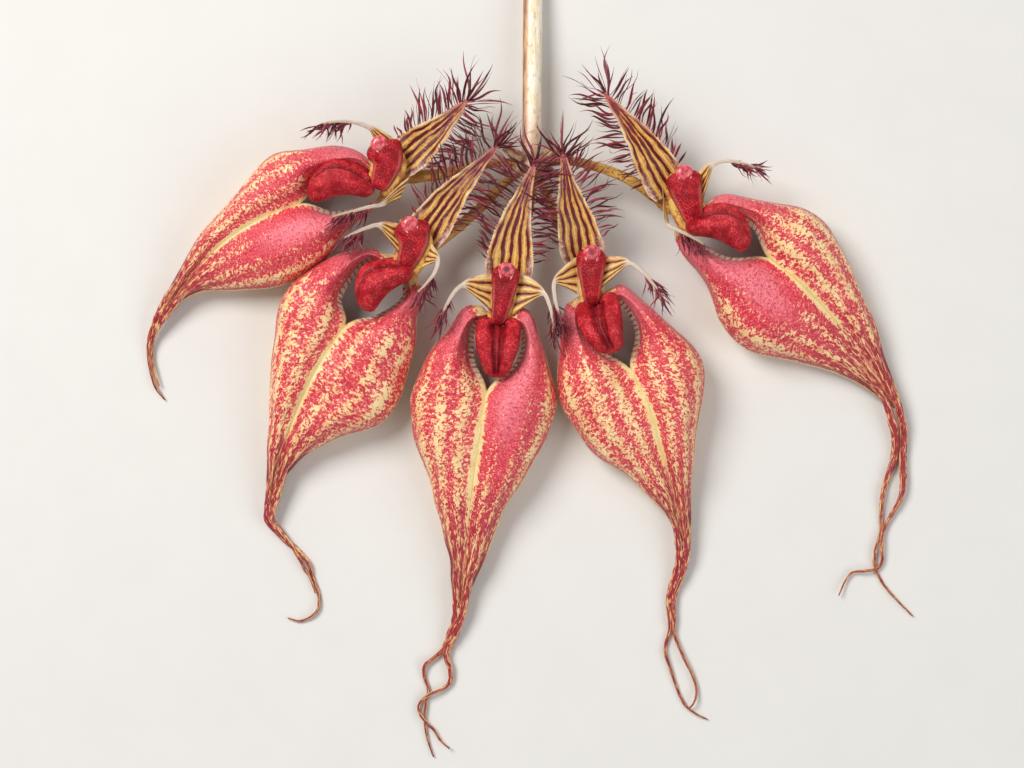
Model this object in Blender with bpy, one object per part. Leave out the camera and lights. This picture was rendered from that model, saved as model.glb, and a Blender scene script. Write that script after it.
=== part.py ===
"""Umbel of a bulbophyllum orchid, cut with its stem and laid face up on a table.

Five flowers fan out from the end of one bare stem. Lengths are in millimetres and
become metres when a mesh is made. +Z points up from the table, +Y runs towards the
cut end of the stem, and the origin lies on the table at the middle of the plan.
"""

import math
import random

import bpy
import numpy as np

MM = 0.001
SEED = 7

# Thin organs
BLADE = 0.7
CLEARANCE = 0.35

# Heights of the two lateral sepals above the table, at stations 0 (under the column's
# foot), 1 (claw) and on to 8 (tip)
CREST = [10.6, 12.6, 14.8, 16.6, 17.0, 15.2, 11.8, 7.6, 4.2]
SEAM = [9.6, 10.0, 10.6, 10.4, 12.0, 13.4, 10.8, 7.0, 3.8]
SIDE = [9.7, 10.3, 11.0, 9.6, 7.4, 6.2, 5.2, 3.8, 2.6]
RIM = [9.0, 8.4, 7.6, 3.6, 0.0, 0.0, 0.0, 0.6, 1.0]
TUCK = [0.30, 0.30, 0.30, 0.30, 0.32, 0.34, 0.34, 0.32, 0.25]
CREST_AT = 0.46
FIRST_JOINED = 4
FLAT_RIM = 1.1
FOOT_HALF = 2.8
LOW_INSIDE = [1.0, 1.0, 1.0, 0.8, 0.3, 0.0, 0.0, 0.0, 0.0]
SEPAL_STATIONS = [0, 0.5, 1, 1.5, 2, 2.5, 3, 3.5, 4, 4.5, 5, 5.75, 6.5, 7.25, 8]

# Tails
TAIL_START = 0.25
TAIL_ROOT = 0.95
TAIL_TIP = 0.36
TAIL_SIDES = 4

# Dorsal sepal, measured along its middle
DORSAL_HEIGHT = [10.8, 12.9, 14.4, 13.8]
DORSAL_CUP = 1.5
DORSAL_ROWS = 13
DORSAL_TAPER = [0.62, 1.0, 0.84, 0.64, 0.43, 0.21, 0.08]

# Petal blade, filament and tuft
PETAL_HEIGHT = [13.8, 14.9, 15.8, 17.4, 18.4, 18.2]
PETAL_ROWS = 11
FILAMENT = 1.1

# Lip: a fleshy tongue that arches from the column's foot and curls down at its tip
LIP_BASE = 13.4
LIP_ARCH = [0.0, 3.0, 4.3, 4.2, 3.0, 0.9]
LIP_WIDTH = 11.2
LIP_SPREAD = [0.74, 0.97, 1.0, 0.90, 0.72, 0.40]
LIP_DEPTH = [1.3, 1.9, 2.1, 2.1, 1.8, 1.0]
LIP_SHOULDER = 2.6
LIP_GROOVE = 0.45
LIP_LIFT = 3.0

# Column and anther cap
COLUMN_HEIGHT = [15.6, 14.4, 13.3]
COLUMN_WIDTH = [4.8, 7.2, 7.0, 6.0, 4.8, 3.6]
COLUMN_DEPTH = [3.6, 4.6, 4.6, 4.0, 3.0, 2.2]
CAP_RADIUS = 1.75
CAP_RISE = 1.5

# Stem, hub and flower stalks
STEM_RADIUS = 2.35
STEM_END = (0.75, 107.5)
HUB = (0.0, 41.2)
HUB_HEIGHT = 7.6
HUB_RADIUS = 2.7
STALK_RADIUS = [1.0, 1.15, 1.25, 1.45, 1.7, 1.5]
STALK_JOIN = 9.7
BRACT_HALF = 1.25

# Flowers from left to right, seen from above with the stem at the top. Each outline
# has a point at stations 1 to 8, and the gap under the lip has stations 1 to 3.
FLOWERS = {
    "a": {
        "left": [(-38.5, 40.5), (-44.8, 45.0), (-54.5, 45.0), (-64.2, 43.6),
                 (-73.6, 34.2), (-81.8, 24.6), (-88.6, 14.0), (-93.8, 5.2)],
        "right": [(-38.0, 31.0), (-41.0, 28.8), (-46.4, 23.6), (-53.2, 15.8),
                  (-62.5, 11.0), (-73.0, 9.9), (-84.0, 9.2), (-92.0, 4.0)],
        "seam": [(-57.0, 31.25), (-67.25, 27.25), (-76.5, 21.5), (-84.75, 13.5),
                 (-92.0, 4.25)],
        "gap_left": [(-38.0, 36.5), (-42.75, 40.0), (-52.5, 37.25)],
        "gap_right": [(-37.25, 32.75), (-40.5, 30.75), (-49.0, 29.5)],
        "tails": [
            [(-94.5, 1.25), (-96.0, -3.0), (-96.25, -6.75), (-95.75, -10.5),
             (-94.5, -14.25), (-92.25, -17.5)],
            [(-93.5, 1.25), (-95.25, -3.0), (-95.5, -6.75), (-94.75, -10.5),
             (-93.5, -14.0)],
        ],
        "dorsal": [(-33.0, 41.0), (-27.5, 45.5), (-22.0, 50.0), (-15.75, 56.5)],
        "dorsal_width": 10.0,
        "petals": {
            "left": {"root": [(-34.4, 47.3), (-38.4, 45.5)],
                     "arc": [(-39.75, 49.5), (-43.25, 50.6), (-47.5, 50.8), (-51.5, 50.2)],
                     "tuft": (-1.0, -1.2)},
            "right": {"root": [(-31.25, 36.5), (-33.5, 31.5)],
                      "arc": [(-36.5, 30.75), (-39.5, 30.0), (-44.0, 28.75), (-48.75, 27.5)],
                      "tuft": (-0.4, -1.0)},
        },
        "column": [(-36.8, 45.5), (-34.3, 41.0), (-37.3, 36.0)],
        "anther": (-38.0, 45.6),
        "lip": [(-41.5, 35.6), (-55.0, 32.6)],
        "lip_roll": -36,
        "stalk": [(-7.5, 41.5), (-13.5, 40.75), (-21.0, 39.0), (-27.0, 38.25), (-31.5, 38.25)],
        "stalk_height": [8.6, 9.4, 9.6, 9.0, 8.4, 8.0],
        "bract": (-6.6, 44.7),
    },
    "b": {
        "left": [(-36.0, 18.6), (-41.5, 20.2), (-52.0, 16.6), (-62.0, 7.4),
                 (-64.7, -8.5), (-65.5, -22.0), (-66.2, -35.0), (-66.7, -44.5)],
        "right": [(-28.0, 12.2), (-26.4, 9.0), (-28.4, 2.6), (-30.2, -10.0),
                  (-36.4, -22.0), (-49.4, -27.6), (-58.2, -32.6), (-64.2, -42.6)],
        "seam": [(-46.0, 1.0), (-53.25, -9.75), (-58.25, -20.25), (-62.75, -32.25),
                 (-65.0, -43.75)],
        "gap_left": [(-33.25, 13.75), (-39.75, 17.0), (-46.75, 8.25)],
        "gap_right": [(-31.75, 11.25), (-32.5, 7.5), (-38.25, 3.75)],
        "tails": [
            [(-66.0, -47.25), (-64.0, -50.0), (-61.25, -53.25), (-58.25, -56.0),
             (-56.0, -58.75), (-55.0, -62.25), (-53.5, -66.25), (-53.5, -69.75),
             (-55.25, -72.0), (-58.25, -73.25), (-61.25, -72.5)],
            [(-65.25, -47.25), (-63.25, -50.25), (-60.5, -53.75), (-58.5, -57.0),
             (-57.0, -60.0), (-55.5, -62.5), (-54.25, -66.25)],
        ],
        "dorsal": [(-26.75, 22.25), (-22.5, 29.0), (-16.75, 36.0), (-8.25, 45.25)],
        "dorsal_width": 10.0,
        "petals": {
            "left": {"root": [(-31.75, 25.5), (-33.0, 18.75)],
                     "arc": [(-37.5, 25.5), (-40.5, 24.75), (-43.25, 23.5), (-45.75, 22.25)],
                     "tuft": (-0.2, -1.0)},
            "right": {"root": [(-24.75, 21.5), (-26.25, 14.5)],
                      "arc": [(-23.0, 17.0), (-23.75, 13.75), (-25.75, 11.0), (-27.75, 9.0)],
                      "tuft": (0.1, -1.0)},
        },
        "column": [(-29.8, 26.0), (-28.0, 21.2), (-30.8, 16.5)],
        "anther": (-29.8, 25.6),
        "lip": [(-32.6, 14.0), (-41.2, 4.6)],
        "lip_roll": -36,
        "stalk": [(-7.0, 36.25), (-11.75, 31.25), (-16.75, 26.75), (-21.5, 23.0), (-25.5, 20.5)],
        "stalk_height": [5.6, 7.0, 8.2, 8.6, 8.3, 8.0],
        "bract": (-6.4, 37.9),
    },
    "c": {
        "left": [(-13.0, 5.8), (-17.8, 4.0), (-24.6, -5.5), (-30.2, -16.8),
                 (-28.6, -27.6), (-24.9, -40.0), (-21.0, -54.5), (-19.5, -69.0)],
        "right": [(-4.2, 5.2), (0.0, 3.6), (3.6, -7.0), (6.2, -18.6),
                  (2.8, -28.8), (-4.8, -41.5), (-11.4, -56.5), (-16.6, -69.6)],
        "seam": [(-11.0, -15.25), (-12.75, -25.5), (-14.75, -39.25), (-16.25, -54.25),
                 (-17.75, -69.5)],
        "gap_left": [(-11.0, 1.75), (-13.75, 0.0), (-14.0, -7.25)],
        "gap_right": [(-5.75, 0.75), (-2.5, -1.0), (-3.75, -7.75)],
        "tails": [
            [(-18.75, -72.25), (-20.25, -76.75), (-21.75, -80.0), (-24.0, -82.25),
             (-26.75, -84.5), (-26.75, -87.5), (-25.75, -90.75), (-26.5, -94.25),
             (-26.75, -98.0), (-26.0, -103.0), (-24.5, -107.5)],
            [(-17.5, -72.25), (-19.25, -76.75), (-21.0, -80.0), (-21.25, -82.25),
             (-20.25, -85.5), (-20.5, -88.75), (-22.5, -90.5), (-25.25, -91.5),
             (-27.75, -93.5), (-28.25, -95.75), (-26.75, -98.25), (-24.5, -100.5),
             (-22.75, -103.25), (-20.5, -105.25)],
        ],
        "dorsal": [(-5.75, 11.75), (-5.0, 19.5), (-3.25, 28.5), (0.75, 40.75)],
        "dorsal_width": 12.0,
        "petals": {
            "left": {"root": [(-9.75, 13.5), (-10.5, 4.5)],
                     "arc": [(-16.75, 10.75), (-19.25, 8.5), (-21.0, 5.25), (-22.5, 1.75)],
                     "tuft": (-0.3, -1.0)},
            "right": {"root": [(-1.75, 13.25), (-3.25, 4.0)],
                      "arc": [(3.0, 8.75), (4.5, 5.75), (5.25, 2.25), (5.5, -1.75)],
                      "tuft": (0.15, -1.0)},
        },
        "column": [(-6.1, 15.0), (-6.7, 9.0), (-8.0, 2.8)],
        "anther": (-6.0, 14.0),
        "lip": [(-8.1, 0.6), (-8.7, -12.0)],
        "lip_roll": 0,
        "stalk": [(0.0, 33.5), (-1.5, 26.0), (-3.5, 19.5), (-5.0, 14.0), (-5.75, 10.0)],
        "stalk_height": [8.8, 8.6, 8.4, 8.2, 8.0, 7.8],
        "bract": (-1.5, 34.2),
    },
    "d": {
        "left": [(10.5, 7.2), (8.0, 4.4), (6.9, -6.0), (7.4, -18.5),
                 (13.8, -28.8), (24.6, -37.2), (32.8, -45.0), (36.6, -52.2)],
        "right": [(19.6, 10.0), (24.0, 10.4), (33.5, 2.0), (43.0, -8.8),
                  (42.2, -21.5), (40.7, -33.5), (40.2, -44.0), (40.1, -54.0)],
        "seam": [(24.5, -9.75), (29.0, -19.25), (32.25, -30.0), (35.5, -41.0),
                 (38.25, -53.0)],
        "gap_left": [(12.75, 4.0), (13.25, 0.5), (18.0, -5.25)],
        "gap_right": [(18.75, 5.5), (21.75, 6.5), (25.75, -0.5)],
        "tails": [
            [(37.25, -57.5), (36.5, -61.75), (35.25, -65.5), (34.75, -69.25),
             (35.0, -73.0), (35.0, -75.5), (34.0, -79.25), (34.0, -81.75),
             (35.25, -85.5), (36.75, -90.0), (38.75, -94.25), (41.5, -96.5), (44.5, -98.0)],
            [(38.75, -57.5), (37.75, -61.75), (36.25, -65.5), (35.75, -69.25),
             (36.0, -73.0), (36.0, -75.5), (36.75, -78.25), (38.75, -83.0),
             (40.75, -87.0), (41.75, -90.75), (41.0, -93.75), (39.75, -95.25)],
        ],
        "dorsal": [(13.25, 16.5), (11.5, 24.5), (9.5, 32.5), (7.75, 43.75)],
        "dorsal_width": 11.0,
        "petals": {
            "left": {"root": [(10.0, 17.0), (10.0, 8.75)],
                     "arc": [(5.75, 11.5), (5.75, 7.75), (6.5, 4.5), (7.75, 1.25)],
                     "tuft": (0.2, -1.0)},
            "right": {"root": [(18.0, 17.75), (17.25, 9.75)],
                      "arc": [(24.0, 16.25), (27.5, 13.75), (30.0, 10.75), (32.25, 7.75)],
                      "tuft": (0.4, -1.0)},
        },
        "column": [(14.8, 19.2), (14.6, 13.0), (14.9, 7.6)],
        "anther": (14.8, 18.4),
        "lip": [(16.6, 5.6), (20.6, -5.8)],
        "lip_roll": -8,
        "stalk": [(3.75, 34.0), (6.5, 27.25), (9.5, 21.5), (12.0, 17.0), (13.25, 13.5)],
        "stalk_height": [5.8, 7.2, 8.0, 8.0, 8.0, 7.8],
        "bract": (6.25, 38.0),
    },
    "e": {
        "left": [(35.4, 24.0), (37.2, 19.6), (42.8, 12.4), (46.8, 2.4),
                 (55.4, -5.6), (66.0, -8.0), (78.5, -11.6), (90.2, -19.0)],
        "right": [(43.5, 31.4), (48.5, 33.6), (57.5, 31.8), (70.2, 29.2),
                  (76.8, 21.2), (82.4, 10.0), (87.8, -3.6), (93.0, -18.0)],
        "seam": [(58.5, 17.75), (66.0, 11.5), (73.5, 4.25), (82.0, -5.5), (91.5, -19.5)],
        "gap_left": [(39.0, 25.75), (41.25, 21.75), (49.25, 18.0)],
        "gap_right": [(42.5, 28.0), (46.0, 29.5), (54.5, 25.5)],
        "tails": [
            [(90.75, -23.25), (91.75, -27.5), (91.5, -32.25), (89.75, -37.0),
             (88.5, -41.75), (88.25, -46.75), (88.25, -50.5), (87.0, -54.5),
             (86.5, -58.0), (87.25, -61.0), (89.25, -64.5), (92.25, -68.0), (96.25, -72.0)],
            [(93.25, -22.75), (93.75, -27.0), (93.5, -33.0), (93.75, -38.75),
             (92.75, -43.0), (90.5, -47.0), (88.75, -50.5), (88.25, -54.25),
             (88.5, -57.75), (87.25, -60.0), (84.25, -60.5), (81.0, -61.0),
             (79.25, -63.0), (77.5, -66.75)],
        ],
        "dorsal": [(34.75, 33.75), (30.25, 41.25), (25.5, 48.5), (18.0, 58.25)],
        "dorsal_width": 10.5,
        "petals": {
            "left": {"root": [(32.5, 33.5), (33.75, 27.0)],
                     "arc": [(33.5, 25.75), (36.0, 24.25), (39.25, 22.5), (42.25, 20.75)],
                     "tuft": (0.3, -1.0)},
            "right": {"root": [(41.25, 38.5), (42.75, 32.75)],
                      "arc": [(44.5, 40.25), (47.75, 41.25), (51.75, 40.5), (55.75, 39.25)],
                      "tuft": (1.0, -0.7)},
        },
        "column": [(37.2, 38.2), (38.2, 32.6), (40.2, 27.0)],
        "anther": (37.8, 38.6),
        "lip": [(43.0, 25.1), (53.4, 20.0)],
        "lip_roll": 34,
        "stalk": [(7.5, 42.25), (16.75, 40.25), (25.0, 37.0), (31.0, 33.25), (34.75, 30.5)],
        "stalk_height": [8.6, 9.4, 9.6, 9.0, 8.4, 8.0],
        "bract": (6.6, 44.4),
    },
}

# Fringes: how many paleae are on each margin and at the tip, and how long they are
FRINGE_SIDE = 7
FRINGE_TIP = 4
FRINGE_LENGTH = (4.5, 7.5)
TIP_LENGTH = (6.5, 9.5)
PALEA = 0.42
SUNK = 0.45
TUFT = 6
TUFT_LENGTH = (3.5, 6.5)
TUFT_SHARE = 0.26

# Base colour, roughness
FINISHES = {
    "lateral": ((0.72, 0.16, 0.17), 0.55),
    "dorsal": ((0.70, 0.45, 0.15), 0.55),
    "petal": ((0.72, 0.46, 0.14), 0.55),
    "lip": ((0.42, 0.02, 0.04), 0.45),
    "column": ((0.62, 0.06, 0.09), 0.45),
    "anther": ((0.70, 0.22, 0.24), 0.40),
    "stalk": ((0.62, 0.38, 0.12), 0.60),
    "bract": ((0.55, 0.30, 0.22), 0.65),
    "stem": ((0.80, 0.62, 0.36), 0.55),
}


def clear_scene():
    for obj in list(bpy.data.objects):
        bpy.data.objects.remove(obj, do_unlink=True)


def make_materials():
    made = {}
    for name, (colour, roughness) in FINISHES.items():
        material = bpy.data.materials.new(name)
        material.use_nodes = True
        shader = material.node_tree.nodes["Principled BSDF"]
        shader.inputs["Base Color"].default_value = (*colour, 1.0)
        shader.inputs["Roughness"].default_value = roughness
        shader.inputs["Metallic"].default_value = 0.0
        made[name] = material
    return made


def spline(points, at):
    """Catmull-Rom curve through the points, read at fractional point numbers."""
    knots = np.asarray(points, float)
    if knots.ndim == 1:
        knots = knots[:, None]
    before = 2 * knots[0] - knots[1]
    after = 2 * knots[-1] - knots[-2]
    padded = np.vstack([before, knots, after])
    at = np.clip(np.atleast_1d(np.asarray(at, float)), 0, len(knots) - 1)
    first = np.minimum(at.astype(int), len(knots) - 2)
    f = (at - first)[:, None]
    p0, p1, p2, p3 = (padded[first + k] for k in range(4))
    return 0.5 * (
        2 * p1
        + (p2 - p0) * f
        + (2 * p0 - 5 * p1 + 4 * p2 - p3) * f**2
        + (3 * p1 - p0 - 3 * p2 + p3) * f**3
    )


def steps(points, count):
    """Fractional point numbers of count samples spread along a list of points."""
    return np.linspace(0, len(points) - 1, count)


def new_object(name, points, faces, material=None):
    """Mesh object from points in millimetres, shaded smooth up to sharp edges."""
    mesh = bpy.data.meshes.new(name)
    mesh.from_pydata((np.asarray(points) * MM).tolist(), [], faces)
    mesh.validate()
    mesh.shade_smooth()
    mesh.set_sharp_from_angle(angle=math.radians(50))
    if material:
        mesh.materials.append(material)
    obj = bpy.data.objects.new(name, mesh)
    bpy.context.scene.collection.objects.link(obj)
    return obj


def thicken(obj, thickness=BLADE):
    """Gives a sheet its thickness below the face that it shows."""
    solidify = obj.modifiers.new("Thickness", "SOLIDIFY")
    solidify.thickness = thickness * MM
    solidify.offset = -1
    return obj


def apply_modifiers(obj):
    bpy.context.view_layer.update()
    graph = bpy.context.evaluated_depsgraph_get()
    mesh = bpy.data.meshes.new_from_object(obj.evaluated_get(graph))
    obj.modifiers.clear()
    obj.data = mesh


def fuse(obj, others):
    """Joins other closed objects to this one in a single Boolean union."""
    group = bpy.data.collections.new(obj.name + "_joined")
    bpy.context.scene.collection.children.link(group)
    for other in others:
        bpy.context.scene.collection.objects.unlink(other)
        group.objects.link(other)
    union = obj.modifiers.new("Join", "BOOLEAN")
    union.operation = "UNION"
    union.operand_type = "COLLECTION"
    union.collection = group
    union.solver = "MANIFOLD"
    apply_modifiers(obj)
    for other in others:
        bpy.data.objects.remove(other, do_unlink=True)
    bpy.data.collections.remove(group)


def grid_triangles(index, upward):
    """Triangles of a grid of point numbers, every cell split along the same diagonal."""
    faces = []
    for i in range(len(index) - 1):
        for j in range(len(index[0]) - 1):
            a, b = index[i][j], index[i][j + 1]
            c, d = index[i + 1][j + 1], index[i + 1][j]
            faces += [(a, b, c), (a, c, d)] if upward else [(a, c, b), (a, d, c)]
    return faces


def rings_mesh(rings, tip=None):
    """Closed skin over rings of points, with flat caps or a pointed tip."""
    count, sides = len(rings), len(rings[0])
    points = np.vstack(rings)
    faces = []
    for i in range(count - 1):
        for j in range(sides):
            a, b = i * sides + j, i * sides + (j + 1) % sides
            c, d = b + sides, a + sides
            faces += [(a, b, c), (a, c, d)]
    faces.append(tuple(reversed(range(sides))))
    last = (count - 1) * sides
    if tip is None:
        faces.append(tuple(range(last, last + sides)))
    else:
        points = np.vstack([points, tip])
        faces += [(last + j, last + (j + 1) % sides, len(points) - 1) for j in range(sides)]
    return points, faces


def frames_along(path):
    """Tangent and two cross directions at each point of a path, without twist."""
    tangent = np.gradient(path, axis=0)
    tangent /= np.linalg.norm(tangent, axis=1)[:, None]
    side = np.cross(tangent[0], (0, 0, 1))
    if np.linalg.norm(side) < 1e-6:
        side = np.array([1.0, 0, 0])
    across = []
    for t in tangent:
        side = side - t * (side @ t)
        side = side / np.linalg.norm(side)
        across.append(side.copy())
    across = np.array(across)
    return tangent, across, np.cross(across, tangent)


def tube(path, radii, sides, pointed=False):
    """Round skin along a path. A pointed one closes on its last point."""
    path = np.asarray(path, float)
    radii = np.asarray(radii, float)
    _, across, up = frames_along(path)
    turn = np.arange(sides) * 2 * math.pi / sides + math.pi / sides
    wheel = np.stack([np.cos(turn), np.sin(turn)], axis=1)
    used = len(path) - 1 if pointed else len(path)
    rings = [
        path[i] + radii[i] * (wheel[:, :1] * up[i] + wheel[:, 1:] * across[i])
        for i in range(used)
    ]
    return rings_mesh(rings, path[-1] if pointed else None)


def lobe_edges(flower, side):
    """Stations of a lobe's inner edge, along the gap and the shared seam, and its outer one."""
    heel, foot = np.asarray(flower["column"][-2:], float)
    down = (foot - heel) / np.linalg.norm(foot - heel)
    away = np.array([-down[1], down[0]]) * (1 if side == "right" else -1)
    inner = [foot + away * CLEARANCE, *flower["gap_" + side], *flower["seam"]]
    outer = [foot + away * FOOT_HALF - down, *flower[side]]
    return inner, outer


def lobe_surface(flower, side, stations, across):
    """Points of one lateral sepal's outer face.

    across holds (part, fraction) pairs. Part 0 climbs from the seam to the crest,
    1 falls from the crest to the silhouette, 2 rolls under to the rim, and 3 is the
    flat edge on which the sepal lies.
    """
    inner, outer = (spline(edge, stations) for edge in lobe_edges(flower, side))
    crest, seam, low_side, rim, tuck, low = (
        spline(h, stations)[:, 0] for h in (CREST, SEAM, SIDE, RIM, TUCK, LOW_INSIDE)
    )
    span = np.linalg.norm(outer - inner, axis=1)
    rim = np.maximum(rim, 0)
    columns = []
    for part, f in across:
        if part == 0:
            where = CREST_AT * f * np.ones_like(crest)
            rise = low * f**2 * (3 - 2 * f) + (1 - low) * (1 - (1 - f) ** 2)
            height = seam + (crest - seam) * rise
        elif part == 1:
            angle = f * math.pi / 2
            where = CREST_AT + (1 - CREST_AT) * math.sin(angle) * np.ones_like(crest)
            height = low_side + (crest - low_side) * math.cos(angle)
        elif part == 2:
            angle = f * math.pi / 2
            where = 1 - tuck * (1 - math.cos(angle))
            height = low_side - (low_side - rim) * math.sin(angle)
        else:
            where = 1 - tuck - f * np.minimum(FLAT_RIM / span, 0.12)
            height = rim
        plan = inner + (outer - inner) * where[:, None]
        columns.append(np.column_stack([plan, height]))
    return np.stack(columns, axis=1)


def lateral_sepals(name, flower, material):
    """Two lateral sepals, joined along their seam and open above it at the gap."""
    across = [(0, 0), (0, 0.5), (1, 0), (1, 0.5), (1, 1), (2, 1), (3, 1)]
    joined = SEPAL_STATIONS.index(FIRST_JOINED)
    points, index = [], {}
    for side in ("left", "right"):
        surface = lobe_surface(flower, side, SEPAL_STATIONS, across)
        rows = []
        for i, row in enumerate(surface):
            numbers = []
            for j, point in enumerate(row):
                if side == "right" and j == 0 and i >= joined:
                    numbers.append(index["left"][i][0])
                else:
                    numbers.append(len(points))
                    points.append(point)
            rows.append(numbers)
        index[side] = rows
    faces = grid_triangles(index["left"], True) + grid_triangles(index["right"], False)
    obj = thicken(new_object(name, points, faces, material))
    fuse(obj, [tail(flower, side, k) for k, side in enumerate(("left", "right"))])
    return obj


def tail_path(flower, side, number):
    """Route of one tail: out of the sepal's tip, down to the table and along it."""
    start = lobe_surface(flower, side, [7.2, 7.75], [(1, 0.2)])[:, 0]
    start[:, 2] -= BLADE / 2
    route = np.asarray(flower["tails"][number], float)
    count = np.arange(len(route))
    drop = np.exp(-count / 1.3)
    ripple = 0.7 * np.maximum(0, np.sin(count * 1.9 + 1.3 * number)) + 0.45 * number
    heights = TAIL_ROOT + 1.9 * drop + (ripple - 0.4) * (1 - drop)
    knots = np.vstack([start, np.column_stack([route, heights])])
    path = spline(knots, steps(knots, round(len(knots) * 1.5)))
    radii = np.linspace(TAIL_ROOT, TAIL_TIP, len(path))
    radii[0] = TAIL_START
    path[:, 2] = np.maximum(path[:, 2], radii + 0.05)
    return path, radii


def tail(flower, side, number):
    path, radii = tail_path(flower, side, number)
    return new_object("tail", *tube(path, radii, TAIL_SIDES))


def dorsal_frame(flower, count):
    """Middle line of the dorsal sepal, its cross direction and its half width."""
    knots = np.column_stack([flower["dorsal"], DORSAL_HEIGHT])
    middle = spline(knots, steps(knots, count))
    along = np.gradient(middle[:, :2], axis=0)
    along /= np.linalg.norm(along, axis=1)[:, None]
    sideways = np.column_stack([along[:, 1], -along[:, 0], np.zeros(count)])
    half = flower["dorsal_width"] / 2 * spline(DORSAL_TAPER, steps(DORSAL_TAPER, count))[:, 0]
    return middle, sideways, half


def dorsal_surface(flower, count, across):
    """Shallow trough whose margins rise, widest just above its base and drawn out at the tip."""
    middle, sideways, half = dorsal_frame(flower, count)
    columns = []
    for u in across:
        points = middle + sideways * (u * half)[:, None]
        points[:, 2] += DORSAL_CUP * (half / half.max()) * (u * u - 0.35)
        columns.append(points)
    return np.stack(columns, axis=1)


def palea(root, direction, length):
    """One stiff hair of the fringe, three-sided, its root sunk into the margin."""
    direction = np.asarray(direction, float)
    direction /= np.linalg.norm(direction)
    root = np.asarray(root, float) - direction * SUNK
    return new_object("palea", *tube([root, root + direction * length], [PALEA, 0], 3, pointed=True))


def dorsal_sepal(name, flower, material):
    rng = random.Random(SEED + ord(name[0]))
    across = np.linspace(-1, 1, 5)
    surface = dorsal_surface(flower, DORSAL_ROWS, across)
    index = np.arange(surface.shape[0] * surface.shape[1]).reshape(surface.shape[:2])
    points = surface.reshape(-1, 3)
    obj = thicken(new_object(name, points, grid_triangles(index.tolist(), False), material))
    hairs = []
    middle, sideways, half = dorsal_frame(flower, 61)
    edge = dorsal_surface(flower, 61, [-1, 1])
    forward = middle[-1] - middle[-8]
    forward /= np.linalg.norm(forward)
    for k, sign in enumerate((-1, 1)):
        for i in range(FRINGE_SIDE):
            at = round(60 * (0.16 + 0.76 * (i + rng.uniform(-0.2, 0.2)) / (FRINGE_SIDE - 1)))
            out = sideways[at] * sign
            lean = out + forward * rng.uniform(0.1, 0.7) + np.array([0, 0, rng.uniform(0.5, 1.2)])
            root = edge[at, k] - out * 0.35 - np.array([0, 0, BLADE / 2])
            hairs.append(palea(root, lean, rng.uniform(*FRINGE_LENGTH)))
    for i in range(FRINGE_TIP):
        spread = (i / (FRINGE_TIP - 1) - 0.5) * 2
        lean = forward + sideways[-1] * spread * 0.9 + np.array([0, 0, rng.uniform(0.2, 0.9)])
        root = middle[-1] - forward * 0.5 - np.array([0, 0, BLADE / 2])
        hairs.append(palea(root, lean, rng.uniform(*TIP_LENGTH)))
    fuse(obj, hairs)
    return obj


def petal_frame(petal, count):
    """Middle line and half-width vectors of a petal and the filament that ends it."""
    high, low = (np.asarray(p, float) for p in petal["root"])
    arc = [np.asarray(p, float) for p in petal["arc"]]
    root = (high + low) / 2
    knots = np.column_stack([[root, (root + arc[0]) / 2, *arc], PETAL_HEIGHT])
    at = steps(knots, count)
    middle = spline(knots, at)
    along = np.gradient(middle[:, :2], axis=0)
    along /= np.linalg.norm(along, axis=1)[:, None]
    thin = np.column_stack([-along[:, 1], along[:, 0]]) * FILAMENT / 2
    wide = (high - low) / 2
    if thin[0] @ wide < 0:
        thin = -thin
    share = np.clip(1 - at / 2.1, 0, 1)[:, None] ** 1.15
    half = wide * share + thin * (1 - share)
    return middle, np.column_stack([half, np.zeros(count)])


def petal_surface(petal, count, across):
    middle, half = petal_frame(petal, count)
    return np.stack([middle + half * u for u in across], axis=1)


def petal_object(name, petal, material):
    """Pointed petal drawn out into a bowed filament with a brush of paleae."""
    rng = random.Random(SEED + sum(map(ord, name)))
    surface = petal_surface(petal, PETAL_ROWS, [-1, 0, 1])
    index = np.arange(surface.shape[0] * surface.shape[1]).reshape(surface.shape[:2]).tolist()
    normal = np.cross(surface[0, 2] - surface[0, 0], surface[1, 1] - surface[0, 1])
    obj = new_object(name, surface.reshape(-1, 3), grid_triangles(index, normal[2] > 0), material)
    thicken(obj)
    middle = surface[:, 1] - (0, 0, BLADE / 2)
    tuft = np.array([*petal["tuft"], 0.0])
    tuft /= np.linalg.norm(tuft)
    hairs = []
    for i in range(TUFT):
        at = (PETAL_ROWS - 1) * (1 - TUFT_SHARE * i / (TUFT - 1)) - 0.1
        row = int(at)
        step = middle[row + 1] - middle[row]
        forward = step / np.linalg.norm(step)
        lean = tuft + forward * rng.uniform(0.0, 0.6) + np.array([0, 0, rng.uniform(-0.15, 0.35)])
        hairs.append(palea(middle[row] + step * (at - row), lean, rng.uniform(*TUFT_LENGTH)))
    fuse(obj, hairs)
    return obj


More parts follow.
